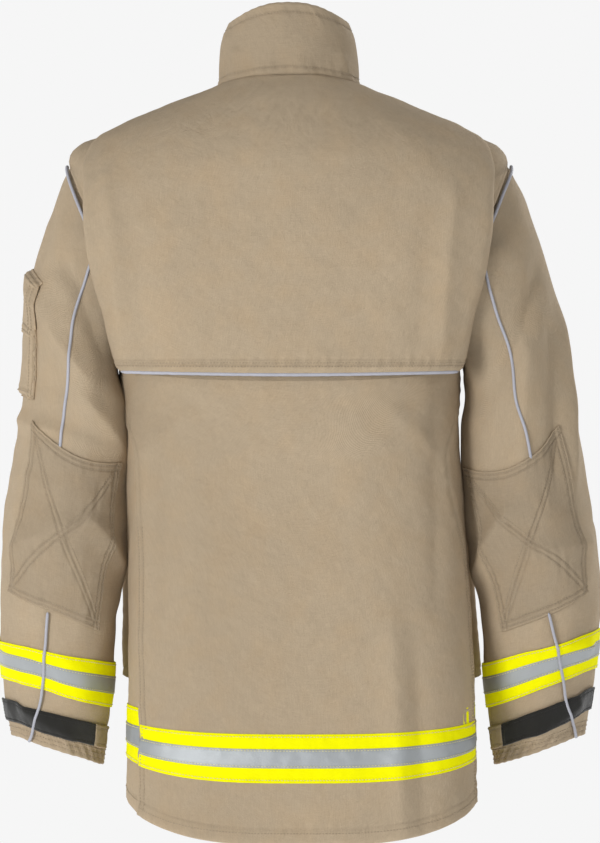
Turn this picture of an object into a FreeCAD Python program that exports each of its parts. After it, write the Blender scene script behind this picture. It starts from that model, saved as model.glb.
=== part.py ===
"""Turnout coat: shell, liner, collar, sleeves, fronts, pockets, tapes and fastenings.

Millimetres, +Z up. The origin is the bearing point of the hang loop, inside the nape of the neck.
The wearer faces -Y and the wearer's left is +X. Left pieces are built and right ones are mirrored.
Cloth surfaces are functions of two parameters, and each cloth piece is the closed solid between
two offsets of such a surface.
"""
import FreeCAD, Part
import math
import os

V = FreeCAD.Vector

# Driving dimensions
MID_Y = -48.0            # middle of the coat's depth
SHELL = 2.4              # outer shell cloth
LINER = 3.6              # moisture barrier and thermal liner together
SEAM_GAP = 0.4           # clearance at every seam between two solids
LAYER_GAP = 0.8          # clearance between two layers of cloth
BACK_LENGTH = 806.0      # nape seam to the dropped back hem
TAPE_HEIGHT = 50.0       # fluorescent trim
SILVER_HEIGHT = 19.0     # reflective band on the trim
TAPE_THICK = 0.8
SILVER_THICK = 0.5
BACK_TAPE_TOP = 691.0    # drop of the trim's upper edge below the nape
PIPING_WIDTH = 3.0
ARMHOLE_MID, ARMHOLE_HALF, ARMHOLE_DEPTH = 230.0, 90.0, 78.0
SIDE_SEAM_ANGLE = 74.0   # from the middle of the back, in degrees
FOLD_TOP = V(46.0, MID_Y - 80.0, -90.0)      # line that a front swings about
FOLD_FOOT = V(95.0, MID_Y - 137.0, -768.0)
FOLD_GAP = 12.0          # side panel stops this far outboard of the fold line
ZIP_HALF = 8.6           # half of the zip's width
COLLAR_THICK = 5.0
COLLAR_SPLIT = 141.0     # the collar's wings start here, in degrees from the back
OVERLAY_TOP, OVERLAY_FOOT = 128.0, 313.0     # drops of the back overlay's edges
STORM_REACH = 36.0       # storm flap, each side of the middle
STORM_DROPS = (40.0, 745.0)
STORM_OFFSET = 9.0
THROAT_REACH = 30.0
POCKET_TURN, POCKET_DROPS, POCKET_DEPTH = (109.0, 140.0), (455.0, 648.0), 16.0
FLAP_LENGTH = 62.0       # cargo pocket flap
ARM_POCKET_TURN, ARM_POCKET_ALONG, ARM_POCKET_DEPTH = (-38.0, 34.0), (1.12, 2.24), 10.0
ARM_FLAP_END = 1.62
SLIDER_DROP, ZIP_DROPS = 62.0, (34.0, 745.0)
LOOP_HALF, LOOP_END_Y, LOOP_BOW, LOOP_HEIGHT, LOOP_THICK = 24.0, 4.2, 8.5, 9.0, 2.0

# drop, half width, back depth, front depth, side height, front height, squareness
TORSO = (
    (0.0, 70.0, 58.0, 70.0, -12.0, -75.0, 2.1),
    (28.0, 122.0, 84.0, 88.0, -32.0, -92.0, 2.1),
    (75.0, 186.0, 108.0, 90.6, -58.0, -120.0, 2.2),
    (140.0, 230.0, 121.0, 95.1, -88.0, -170.0, 2.5),
    (215.0, 208.0, 127.0, 101.1, -190.0, -235.0, 2.9),
    (320.0, 178.0, 125.0, 109.8, -305.0, -330.0, 2.7),
    (480.0, 177.0, 118.0, 123.5, -470.0, -480.0, 2.9),
    (680.0, 181.0, 124.0, 140.7, -668.0, -668.0, 3.0),
    (BACK_LENGTH, 183.0, 127.0, 150.0, -760.0, -770.0, 3.0),
)
# rise, half width, back depth, front depth, back height, side height, front height
COLLAR = (
    (0.0, 71.0, 59.0, 72.0, 4.0, -7.0, -71.0),
    (40.0, 75.0, 60.0, 74.0, 39.0, 28.0, -32.0),
    (78.0, 64.0, 52.0, 68.0, 77.0, 62.0, 10.0),
)
COLLAR_HEIGHT, COLLAR_SQUARENESS = COLLAR[-1][0], 2.1
# centre x, centre depth, centre z, outward x, outward z, half depth
SLEEVE = (
    (229.5, 0.0, -269.0, 42.5, 64.0, 77.0),
    (240.0, 2.0, -345.0, 50.0, 30.0, 73.0),
    (246.0, 5.0, -415.0, 57.0, 12.0, 71.0),
    (251.0, 8.0, -480.0, 61.0, 6.0, 70.0),
    (256.0, 2.0, -545.0, 59.0, 8.0, 67.0),
    (257.0, -20.0, -625.0, 58.0, 15.0, 60.0),
    (249.0, -52.0, -712.0, 45.0, 16.0, 50.0),
)
# Sleeve positions: 0 is the armhole and 7 the cuff's hem
HEAD_START, HEAD_END, UPPER_END, ELBOW_END, CUFF_END = 0.1, 1.0, 3.0, 5.0, 7.0
CUFF_TAPE = (5.62, 6.18)
CUFF_STRAP = (6.60, 6.84)
ARMPIT_CLEAR = 6.0       # the sleeve stands off the flank below the armhole
PATCH_ALONG, PATCH_TURN = (2.30, 5.48), (28.0, 152.0)
SHOULDER_PIVOT = V(212.0, MID_Y, -165.0)
ELBOW_PIVOT = V(251.0, MID_Y + 5.0, -480.0)


def tangents(keys, rows):
    """Slopes of every column at every key, from the neighbours on both sides."""
    last = len(keys) - 1
    result = []
    for i in range(last + 1):
        low, high = max(i - 1, 0), min(i + 1, last)
        span = keys[high] - keys[low]
        result.append([(b - a) / span for a, b in zip(rows[low], rows[high])])
    return result


def smooth_row(keys, rows, slopes, key):
    """Values of every column at a key: cubic pieces through the rows."""
    i = 0
    while i < len(keys) - 2 and key > keys[i + 1]:
        i += 1
    span = keys[i + 1] - keys[i]
    t = (key - keys[i]) / span
    h00, h10 = (1 + 2 * t) * (1 - t) ** 2, t * (1 - t) ** 2
    h01, h11 = t * t * (3 - 2 * t), t * t * (t - 1)
    return [h00 * a + h10 * span * m + h01 * b + h11 * span * n
            for a, m, b, n in zip(rows[i], slopes[i], rows[i + 1], slopes[i + 1])]


TORSO_KEYS = [row[0] for row in TORSO]
TORSO_ROWS = [(-row[0],) + row[1:] for row in TORSO]
TORSO_SLOPES = tangents(TORSO_KEYS, TORSO_ROWS)
COLLAR_KEYS = [row[0] for row in COLLAR]
COLLAR_ROWS = [row[1:] for row in COLLAR]
COLLAR_SLOPES = tangents(COLLAR_KEYS, COLLAR_ROWS)
SLEEVE_KEYS = list(range(len(SLEEVE) + 1))


def torso_row(drop):
    """Back height, half width, back depth, front depth, side height, front height, squareness."""
    return smooth_row(TORSO_KEYS, TORSO_ROWS, TORSO_SLOPES, drop)


def ring_point(angle, half, back, front, z_back, z_side, z_front, squareness):
    """Point of a rounded ring. Angle 0 is the middle of the back, 90 the wearer's left."""
    s, c = math.sin(math.radians(angle)), math.cos(math.radians(angle))
    depth, z_end = (back, z_back) if c > 0 else (front, z_front)
    reach = (abs(s / half) ** squareness + abs(c / depth) ** squareness) ** (-1.0 / squareness)
    x, y = reach * s, reach * c
    return V(x, MID_Y + y, z_side + (z_end - z_side) * (y / depth) ** 2)


def torso(angle, drop):
    z_back, half, back, front, z_side, z_front, squareness = torso_row(drop)
    return ring_point(angle, half, back, front, z_back, z_side, z_front, squareness)


def collar(angle, rise):
    half, back, front, z_back, z_side, z_front = smooth_row(
        COLLAR_KEYS, COLLAR_ROWS, COLLAR_SLOPES, rise)
    return ring_point(angle, half, back, front, z_back, z_side, z_front, COLLAR_SQUARENESS)


def armhole_angle(drop, front):
    """Torso angle of the armhole's edge, or of the seam above and below it."""
    top, foot = ARMHOLE_MID - ARMHOLE_HALF, ARMHOLE_MID + ARMHOLE_HALF
    if drop <= top:
        return 90.0
    if drop >= foot:
        step = min((drop - foot) / 90.0, 1.0)
        return 90.0 - (90.0 - SIDE_SEAM_ANGLE) * step * step * (3 - 2 * step)
    row = torso_row(drop)
    depth, squareness = row[3] if front else row[2], row[6]
    t = (drop - ARMHOLE_MID) / ARMHOLE_HALF
    y = ARMHOLE_DEPTH * math.sqrt(max(1 - t * t, 0.0))
    x = row[1] * (1 - (y / depth) ** squareness) ** (1 / squareness)
    angle = math.degrees(math.atan2(x, y))
    return 180.0 - angle if front else angle


def armhole(turn):
    """Armhole edge. Turn 0 is its top, 90 the back, 180 the armpit, 270 the front."""
    s, c = math.sin(math.radians(turn)), math.cos(math.radians(turn))
    drop = ARMHOLE_MID - ARMHOLE_HALF * c
    return torso(armhole_angle(drop, s < 0), drop)


def sleeve_ring(turn, index):
    c, s = math.cos(math.radians(turn)), math.sin(math.radians(turn))
    if index == 0:
        return armhole(turn) + V(ARMPIT_CLEAR * (1 - c) / 2, 0, 0)
    x, y, z, out_x, out_z, depth = SLEEVE[index - 1]
    return V(x + out_x * c, MID_Y + y + depth * s, z + out_z * c)


def sleeve(turn, along):
    """Sleeve surface: along runs from 0 at the armhole to 7 at the cuff's hem."""
    rings = [sleeve_ring(turn, i) for i in SLEEVE_KEYS]
    rows = [(p.x, p.y, p.z) for p in rings]
    return V(*smooth_row(SLEEVE_KEYS, rows, tangents(SLEEVE_KEYS, rows), along))


def overlay_reach(drop):
    """Half width of the overlay, from behind the shoulders to its narrower foot."""
    t = max(drop - OVERLAY_TOP, 0.0) / (OVERLAY_FOOT - OVERLAY_TOP)
    return 222.0 - 38.0 * t * t * (3 - 2 * t)


def overlay(part, drop):
    """Back overlay: a flatter sheet that bridges from the back to behind the sleeves."""
    z_back, half, back, _, z_side, _, squareness = torso_row(drop)
    x = part * overlay_reach(drop)
    lean = abs(x / (half + 30.0))
    y = (back + 6.0) * (1 - lean ** squareness) ** (1 / squareness)
    return V(x, MID_Y + y, z_back + (z_side - z_back) * 0.5 * lean ** 2)


def loop_arch(part, down):
    """Hang loop: an arch of tape, sewn to the nape at both ends."""
    return V(part * LOOP_HALF, LOOP_END_Y - LOOP_BOW * (1 - part ** 4), -down)


SMALL_STEPS = {torso: (0.2, 0.5), collar: (0.2, 0.5), sleeve: (0.5, 0.02), overlay: (0.01, 0.5),
               loop_arch: (0.01, 0.5)}
FLIPPED = (sleeve, collar)


def outward(surface, u, v):
    """Unit normal of a surface, by small steps."""
    du, dv = SMALL_STEPS[surface]
    along_u = surface(u + du, v) - surface(u - du, v)
    along_v = surface(u, v + dv) - surface(u, v - dv)
    normal = along_u.cross(along_v)
    normal.normalize()
    return normal * (-1.0 if surface in FLIPPED else 1.0)


def steps(start, end, count):
    return [start + (end - start) * i / count for i in range(count + 1)]


def spline_surface(net):
    """Cubic surface with the net as its poles."""
    knots, mults = [], []
    for size in (len(net), len(net[0])):
        inner = size - 4
        knots.append([float(k) for k in range(inner + 2)])
        mults.append([4] + [1] * inner + [4])
    surface = Part.BSplineSurface()
    surface.buildFromPolesMultsKnots(net, mults[0], mults[1], knots[0], knots[1], False, False, 3, 3)
    return surface


def cloth(surface, across, rows, inner, outer, columns=10):
    """Closed solid between two offsets of a surface.

    across(row) gives the first and last parameter of a row; rows holds the second parameter.
    """
    nets = ([], [])
    for i in range(columns + 1):
        lines = ([], [])
        for row in rows:
            start, end = across(row)
            u = start + (end - start) * i / columns
            point, normal = surface(u, row), outward(surface, u, row)
            for line, offset in zip(lines, (outer, inner)):
                line.append(point + normal * offset)
        for net, line in zip(nets, lines):
            net.append(line)
    skins = [spline_surface(net) for net in nets]
    edges = []
    for skin in skins:
        u0, u1, v0, v1 = skin.bounds()
        edges.append((skin.uIso(u0), skin.uIso(u1), skin.vIso(v0), skin.vIso(v1)))
    faces = [Part.makeRuledSurface(a.toShape(), b.toShape()) for a, b in zip(*edges)]
    shell = Part.makeShell([skin.toShape() for skin in skins] + faces)
    shell.sewShape()
    solid = Part.makeSolid(shell)
    if solid.Volume < 0:
        solid.reverse()
    return solid


def band(surface, turns, rows, inner, outer, columns=10):
    """Cloth between two constant first parameters."""
    return cloth(surface, lambda _: turns, rows, inner, outer, columns)


def fold_x(z):
    """X of the fold line of a front at a height."""
    return FOLD_TOP.x + (FOLD_FOOT.x - FOLD_TOP.x) * (z - FOLD_TOP.z) / (FOLD_FOOT.z - FOLD_TOP.z)


def front_angle(drop, inset):
    """Angle on the front where the surface is inset(z) from the middle."""
    low, high = 95.0, 180.0
    for _ in range(30):
        middle = (low + high) / 2
        point = torso(middle, drop)
        if point.x > inset(point.z):
            low = middle
        else:
            high = middle
    return (low + high) / 2


# Rows that follow the armhole closely and the rest of the length evenly
ARMHOLE_ROWS = [ARMHOLE_MID - ARMHOLE_HALF * math.cos(math.radians(a)) for a in range(0, 181, 12)]
BODY_ROWS = steps(0.0, 140.0, 14)[:-1] + ARMHOLE_ROWS + steps(320.0, BACK_LENGTH, 24)[1:]
SEAM_DEGREES = 0.15
ARMHOLE_INSET = 1.0      # degrees kept clear for the sleeve head's edge


def seam_inset(drop):
    """Half of the seam's gap, wider round the armhole."""
    return SEAM_DEGREES + (ARMHOLE_INSET if ARMHOLE_ROWS[1] < drop < ARMHOLE_ROWS[-2] else 0.0)


def back_span(drop, inset=0.0):
    edge = armhole_angle(drop, False) - seam_inset(drop) - inset
    return -edge, edge


def side_span(drop, inset=0.0):
    start = armhole_angle(drop, drop < ARMHOLE_MID + ARMHOLE_HALF) + seam_inset(drop)
    return start + inset, front_angle(drop, lambda z: fold_x(z) + FOLD_GAP) - inset


def front_span(drop, inset=0.0):
    start = front_angle(drop, lambda z: fold_x(z) - SEAM_GAP - inset)
    return start, front_angle(drop, lambda _: ZIP_HALF + SEAM_GAP + inset)


def back_panel():
    return cloth(torso, back_span, BODY_ROWS, 0.0, SHELL, 34)


def side_panel():
    """Front shoulder, chest side and flank, up to the fold of the front."""
    return cloth(torso, side_span, BODY_ROWS, 0.0, SHELL, 14)


def front_panel():
    return cloth(torso, front_span, steps(0.0, BACK_LENGTH, 40), 0.0, SHELL, 6)


def liner(span, rows, columns):
    return cloth(torso, lambda d: span(d, 1.0), rows, -LAYER_GAP - LINER, -LAYER_GAP, columns)


def tape(span, lift, top, height, columns, thick):
    """Strip on the torso, a lift above the shell."""
    inset = 0.3
    return cloth(torso, lambda d: span(d, inset), steps(top, top + height, 6), lift, lift + thick, columns)


TAPE_LIFT = SHELL + LAYER_GAP
SILVER_LIFT = TAPE_LIFT + TAPE_THICK + 0.3
SILVER_TOP = BACK_TAPE_TOP + (TAPE_HEIGHT - SILVER_HEIGHT) / 2


def yellow_tape(span, columns):
    return tape(span, TAPE_LIFT, BACK_TAPE_TOP, TAPE_HEIGHT, columns, TAPE_THICK)


def silver_tape(span, columns):
    return tape(span, SILVER_LIFT, SILVER_TOP, SILVER_HEIGHT, columns, SILVER_THICK)


def collar_cloth(turns, columns):
    return band(collar, turns, steps(0.0, COLLAR_HEIGHT, 8), -COLLAR_THICK / 2, COLLAR_THICK / 2, columns)


def zip_half():
    """One side of the zip: tape and teeth along the front edge."""
    def across(drop):
        return front_angle(drop, lambda _: ZIP_HALF), front_angle(drop, lambda _: SEAM_GAP)
    return cloth(torso, across, steps(*ZIP_DROPS, 24), 0.2, SHELL, 4)


def middle_line(drop, lift):
    """Point of the front's middle line, which is straight below the neck."""
    return torso(180.0, drop) + V(0, -lift, 0)


def zip_slider():
    """Slider on the left teeth, at the closed end of its travel."""
    top, foot = middle_line(SLIDER_DROP, 0), middle_line(SLIDER_DROP + 12.0, 0)
    down = (foot - top).normalize()
    lift = SHELL + 1.3
    body = Part.makeBox(7.4, 15.0, 3.0, V(0, 0, -3.0))
    pull = Part.makeBox(4.6, 24.0, 1.2, V(1.4, 9.0, -4.2))
    slider = body.fuse(pull).removeSplitter()
    slider.rotate(V(0, 0, 0), V(1, 0, 0), math.degrees(math.atan2(down.z, down.y)))
    slider.translate(V(1.0, top.y - lift, top.z))
    return slider


def storm_flap():
    """Flap over the zip, sewn to the left front."""
    def across(drop):
        edge = front_angle(drop, lambda _: STORM_REACH)
        return edge, 360.0 - edge
    return cloth(torso, across, steps(*STORM_DROPS, 30), STORM_OFFSET, STORM_OFFSET + SHELL, 8)


def throat_tab():
    edge = math.degrees(math.atan2(THROAT_REACH, 74.0))
    turns = (180.0 - edge, 180.0 + edge)
    return band(collar, turns, steps(24.0, 56.0, 6), 4.0, 6.4, 8)


def pouch(surface, turns, rows, depth, wall_turn, wall_row, columns):
    """Bellows pocket open at its top: front wall, two sides and a floor."""
    first, last = turns
    top, foot = rows[0], rows[-1]
    base = SHELL + LAYER_GAP
    floor = steps(foot - wall_row, foot, 4)
    body = [row for row in rows if row < foot - wall_row * 1.2] + [foot - wall_row * 1.2]
    return Part.makeCompound([
        band(surface, turns, rows, base + depth - SHELL, base + depth, columns),
        band(surface, (first, first + wall_turn), body, base, base + depth - SHELL - 0.1, 4),
        band(surface, (last - wall_turn, last), body, base, base + depth - SHELL - 0.1, 4),
        band(surface, turns, floor, base, base + depth - SHELL - 0.1, columns),
    ])


def cargo_pocket():
    return pouch(torso, POCKET_TURN, steps(*POCKET_DROPS, 12), POCKET_DEPTH, 1.2, SHELL, 14)


POCKET_FLAP_LIFT = SHELL + LAYER_GAP + POCKET_DEPTH + 0.9


def pocket_flap():
    top = POCKET_DROPS[0] - 12.0
    turns = (POCKET_TURN[0] - 0.6, POCKET_TURN[1] + 0.6)
    return band(torso, turns, steps(top, top + FLAP_LENGTH, 6), POCKET_FLAP_LIFT, POCKET_FLAP_LIFT + SHELL, 14)


def flap_hinge():
    """Outermost point of a pocket flap's upper edge, and the edge's direction there."""
    turn, top = sum(POCKET_TURN) / 2, POCKET_DROPS[0] - 12.0
    point = torso(turn, top) + outward(torso, turn, top) * (POCKET_FLAP_LIFT + SHELL)
    along = torso(turn + 1.0, top) - torso(turn - 1.0, top)
    along.z = 0.0
    return point, along.normalize()


def arm_pocket():
    rows = steps(*ARM_POCKET_ALONG, 10)
    return pouch(sleeve, ARM_POCKET_TURN, rows, ARM_POCKET_DEPTH, 3.0, 0.04, 10)


ARM_FLAP_LIFT = SHELL + LAYER_GAP + ARM_POCKET_DEPTH + 0.8


def arm_flap():
    turns = (ARM_POCKET_TURN[0] - 1.0, ARM_POCKET_TURN[1] + 1.0)
    rows = steps(ARM_POCKET_ALONG[0] - 0.06, ARM_FLAP_END, 6)
    return band(sleeve, turns, rows, ARM_FLAP_LIFT, ARM_FLAP_LIFT + SHELL, 10)


def arm_flap_hinge():
    turn, top = sum(ARM_POCKET_TURN) / 2, ARM_POCKET_ALONG[0] - 0.06
    point = sleeve(turn, top) + outward(sleeve, turn, top) * (ARM_FLAP_LIFT + SHELL)
    return point, V(0, 1, 0)


TUBE = (180.2, 539.8)    # a sleeve's seam is on its inner side


def tube(rows, inner=0.0, outer=SHELL):
    return band(sleeve, TUBE, rows, inner, outer, 40)


def cuff_rows(limits):
    return steps(limits[0], limits[1], 5)


SILVER_MARGIN = (CUFF_TAPE[1] - CUFF_TAPE[0]) * (TAPE_HEIGHT - SILVER_HEIGHT) / TAPE_HEIGHT / 2
CUFF_SILVER = (CUFF_TAPE[0] + SILVER_MARGIN, CUFF_TAPE[1] - SILVER_MARGIN)
TAB_TURN = (166.0, 186.0)
STRAP_TURN = (12.0, 164.0)
TAB_LIFT = SHELL + LAYER_GAP


def cuff_tab_hinge():
    """Root of a cuff tab, and the direction up the sleeve there."""
    middle = sum(CUFF_STRAP) / 2
    point = sleeve(TAB_TURN[0], middle) + outward(sleeve, TAB_TURN[0], middle) * TAB_LIFT
    along = sleeve(TAB_TURN[0], CUFF_STRAP[0]) - sleeve(TAB_TURN[0], CUFF_STRAP[1])
    return point, along.normalize()


def armhole_piping():
    """Piping round the back half of the armhole, just inside its edge."""
    def across(drop):
        edge = armhole_angle(drop, False)
        return edge - 3.2, edge - 1.9
    return cloth(torso, across, ARMHOLE_ROWS[2:-2], SHELL + 0.3, SHELL + 2.3, 4)


def sleeve_pieces():
    yield "upper_sleeve", tube(steps(HEAD_END + 0.01, UPPER_END, 16))
    yield "sleeve_head", tube(steps(HEAD_START, HEAD_END, 8))
    yield "elbow_section", tube(steps(UPPER_END + 0.01, ELBOW_END, 12))
    yield "forearm_sleeve", tube(steps(ELBOW_END + 0.01, CUFF_END, 14))
    yield "elbow_patch", band(sleeve, PATCH_TURN, steps(*PATCH_ALONG, 18), TAB_LIFT, TAB_LIFT + 1.5, 16)
    yield "cuff_tape", tube(cuff_rows(CUFF_TAPE), TAPE_LIFT, TAPE_LIFT + TAPE_THICK)
    yield "cuff_silver", tube(cuff_rows(CUFF_SILVER), SILVER_LIFT, SILVER_LIFT + SILVER_THICK)
    yield "cuff_strap", band(sleeve, STRAP_TURN, cuff_rows(CUFF_STRAP), TAB_LIFT, TAB_LIFT + 2.0, 24)
    yield "cuff_tab", band(sleeve, TAB_TURN, cuff_rows(CUFF_STRAP), TAB_LIFT, TAB_LIFT + 2.6, 6)
    yield "wristlet", tube(steps(6.2, 6.92, 6), -LAYER_GAP - 3.0, -LAYER_GAP)


def front_pieces():
    yield "front_panel", front_panel()
    yield "collar_wing", collar_cloth((COLLAR_SPLIT, 176.5), 6)
    yield "front_liner", liner(front_span, steps(14.0, 770.0, 30), 6)
    yield "front_tape", yellow_tape(front_span, 5)
    yield "front_silver", silver_tape(front_span, 5)
    yield "zip_half", zip_half()


def side_pieces():
    yield "side_panel", side_panel()
    yield "side_liner", liner(side_span, steps(330.0, 750.0, 20), 10)
    yield "side_tape", yellow_tape(side_span, 12)
    yield "side_silver", silver_tape(side_span, 12)
    yield "armhole_piping", armhole_piping()
    yield "cargo_pocket", cargo_pocket()
    yield "pocket_flap", pocket_flap()


def single_pieces():
    liner_rows = steps(14.0, 140.0, 12)[:-1] + ARMHOLE_ROWS + steps(320.0, 785.0, 20)[1:]
    piping_rows = steps(OVERLAY_FOOT + SEAM_GAP, OVERLAY_FOOT + SEAM_GAP + PIPING_WIDTH, 4)
    yield "back_panel", back_panel()
    yield "back_liner", liner(back_span, liner_rows, 30)
    yield "back_tape", yellow_tape(back_span, 30)
    yield "back_silver", silver_tape(back_span, 30)
    yield "collar_back", collar_cloth((-COLLAR_SPLIT + 5.0, COLLAR_SPLIT - 5.0), 36)
    yield "hang_loop", band(loop_arch, (-1.0, 1.0), steps(0.0, LOOP_HEIGHT, 4), 0.0, LOOP_THICK, 16)
    yield "back_overlay", band(overlay, (-1.0, 1.0), steps(OVERLAY_TOP, OVERLAY_FOOT, 16), 0.0, SHELL, 36)
    yield "overlay_piping", band(overlay, (-0.98, 0.98), piping_rows, 0.0, SHELL, 36)
    yield "storm_flap", storm_flap()
    yield "zip_slider", zip_slider()
    yield "throat_tab", throat_tab()
    yield "left_arm_pocket", arm_pocket()
    yield "left_arm_flap", arm_flap()


def hinge_lines():
    """Points and directions of the hinges on the left, which are mirrored on the right."""
    yield "shoulder", (SHOULDER_PIVOT, V(0, -1, 0))
    yield "elbow", (ELBOW_PIVOT, V(-1, 0, 0))
    yield "pocket flap", flap_hinge()
    yield "arm pocket flap", arm_flap_hinge()
    yield "cuff tab", cuff_tab_hinge()


def save(name, shape):
    if not shape.isValid():
        print("not valid:", name)
    shape.exportStep("parts/" + name + ".step")


def main():
    os.makedirs("parts", exist_ok=True)
    for name, shape in single_pieces():
        save(name, shape)
    for pieces in (sleeve_pieces, front_pieces, side_pieces):
        for name, shape in pieces():
            save("left_" + name, shape)
            save("right_" + name, shape.mirror(V(0, 0, 0), V(1, 0, 0)))
    for name, (point, along) in hinge_lines():
        print(f"{name} hinge: through {tuple(point)} along {tuple(along)}")


main()
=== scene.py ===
"""Turnout coat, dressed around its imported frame.

Every cloth piece is a grid worked out from a surface of two parameters, thickened into a closed
slab with rounded rims. The torso is measured by an angle round the body (0 is the middle of the
back, 90 the wearer's left) and a drop below the nape; a sleeve by a turn round the arm (0 is
outward, 90 the back) and a position along it (0 the armhole, 7 the cuff's hem). Metres, +Z up, the
wearer faces -Y and the wearer's left is +X.
"""

import logging
import math
from dataclasses import dataclass, field
from enum import Enum
from typing import Callable, Iterable, Optional, Sequence, Union

import bpy
import numpy as np
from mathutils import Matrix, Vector


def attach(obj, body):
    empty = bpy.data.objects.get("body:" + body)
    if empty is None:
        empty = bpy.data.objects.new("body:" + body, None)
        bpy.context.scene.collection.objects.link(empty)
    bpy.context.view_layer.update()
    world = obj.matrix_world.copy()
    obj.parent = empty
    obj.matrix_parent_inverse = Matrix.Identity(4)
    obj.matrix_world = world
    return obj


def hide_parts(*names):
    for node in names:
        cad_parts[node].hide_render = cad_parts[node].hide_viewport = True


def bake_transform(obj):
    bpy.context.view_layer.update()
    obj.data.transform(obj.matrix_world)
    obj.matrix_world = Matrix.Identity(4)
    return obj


Array = np.ndarray
Surface = Callable[[Array, Array], Array]
log = logging.getLogger("turnout_coat")
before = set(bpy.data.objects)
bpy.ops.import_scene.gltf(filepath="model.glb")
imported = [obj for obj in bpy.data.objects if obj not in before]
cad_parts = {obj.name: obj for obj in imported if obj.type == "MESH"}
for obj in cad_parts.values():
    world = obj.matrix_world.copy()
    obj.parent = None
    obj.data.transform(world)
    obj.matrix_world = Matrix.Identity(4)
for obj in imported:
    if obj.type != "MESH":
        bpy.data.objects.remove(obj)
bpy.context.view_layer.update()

# ---------------------------------------------------------------- driving sizes, metres and degrees
MID_Y = -0.048
SHELL = 0.0022
TAPE_HEIGHT, SILVER_HEIGHT = 0.0505, 0.0195
BACK_LENGTH = 0.806
ARMHOLE_MID, ARMHOLE_HALF, ARMHOLE_DEPTH, ARMPIT_CLEAR = 0.230, 0.090, 0.078, 0.006
SEAM_ANGLE = 69.0
FOLD_TOP, FOLD_FOOT = (0.046, -0.090), (0.095, -0.768)
STITCH_PITCH, STITCH_LENGTH, STITCH_RADIUS = 0.0034, 0.0026, 0.00042
SMALL = 1e-9

# drop, half width, back depth, front depth, side height, front height, squareness
TORSO = np.array([
    (0.000, 0.070, 0.058, 0.0700, -0.012, -0.075, 2.1),
    (0.028, 0.122, 0.084, 0.0880, -0.032, -0.092, 2.1),
    (0.075, 0.186, 0.108, 0.0906, -0.058, -0.120, 2.2),
    (0.140, 0.230, 0.121, 0.0951, -0.088, -0.170, 2.5),
    (0.215, 0.208, 0.127, 0.1011, -0.190, -0.235, 2.9),
    (0.320, 0.178, 0.125, 0.1098, -0.305, -0.330, 2.7),
    (0.480, 0.177, 0.118, 0.1235, -0.470, -0.480, 2.9),
    (0.680, 0.181, 0.124, 0.1407, -0.668, -0.668, 3.0),
    (0.806, 0.183, 0.127, 0.1500, -0.760, -0.770, 3.0),
])
# rise, half width, back depth, front depth, back height, side height, front height
COLLAR = np.array([
    (0.000, 0.0700, 0.0590, 0.072, 0.0010, -0.0115, -0.0730),
    (0.030, 0.0690, 0.0590, 0.073, 0.0290, 0.0170, -0.0420),
    (0.058, 0.0665, 0.0560, 0.071, 0.0550, 0.0400, -0.0120),
    (0.079, 0.0610, 0.0520, 0.068, 0.0765, 0.0570, 0.0090),
])
# centre x, centre depth, centre z, outward x, outward z, half depth
SLEEVE = np.array([
    (0.2250, 0.000, -0.269, 0.0452, 0.0640, 0.078),
    (0.2325, 0.002, -0.345, 0.0550, 0.0300, 0.074),
    (0.2405, 0.005, -0.415, 0.0590, 0.0120, 0.072),
    (0.2480, 0.008, -0.480, 0.0625, 0.0060, 0.071),
    (0.2545, 0.002, -0.545, 0.0615, 0.0080, 0.068),
    (0.2570, -0.020, -0.625, 0.0590, 0.0150, 0.061),
    (0.2560, -0.052, -0.712, 0.0470, 0.0160, 0.050),
])
CUFF_END = 7.0
SPLIT = 2.95  # the upper and lower sleeve pieces meet here
CUFF_TAPE = (5.77, 6.30)
CUFF_STRAP = (6.55, 6.80)
BACK_TAPE_TOP = 0.691
FRONT_TAPE, STORM_TAPE = (0.6725, 0.7405), (0.6725, 0.7400)
TRIM_INSET, SLIDER_CLEAR = 0.0096, 0.0150  # the left front's trim leaves room for the zip's slider
STRAP_TURNS, TAB_TURNS = (6.0, 139.0), (140.0, 166.0)
CARGO_ANGLES, CARGO_POCKET = (108.8, 140.2), (0.455, 0.649)
CARGO_FLAP, CARGO_FLAP_ROOT = (0.4435, 0.505), 0.425
ARM_POCKET_TURNS, ARM_POCKET = (-37.0, 37.0), (1.06, 2.22)
ARM_FLAP_TURNS, ARM_FLAP, ARM_FLAP_ROOT = (-40.0, 40.0), (1.045, 1.56), 0.98


class Side(Enum):
    """The wearer's left and right."""

    LEFT = 1
    RIGHT = -1

    @property
    def word(self) -> str:
        """Name used in the frame's nodes and bodies."""
        return self.name.lower()


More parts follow.
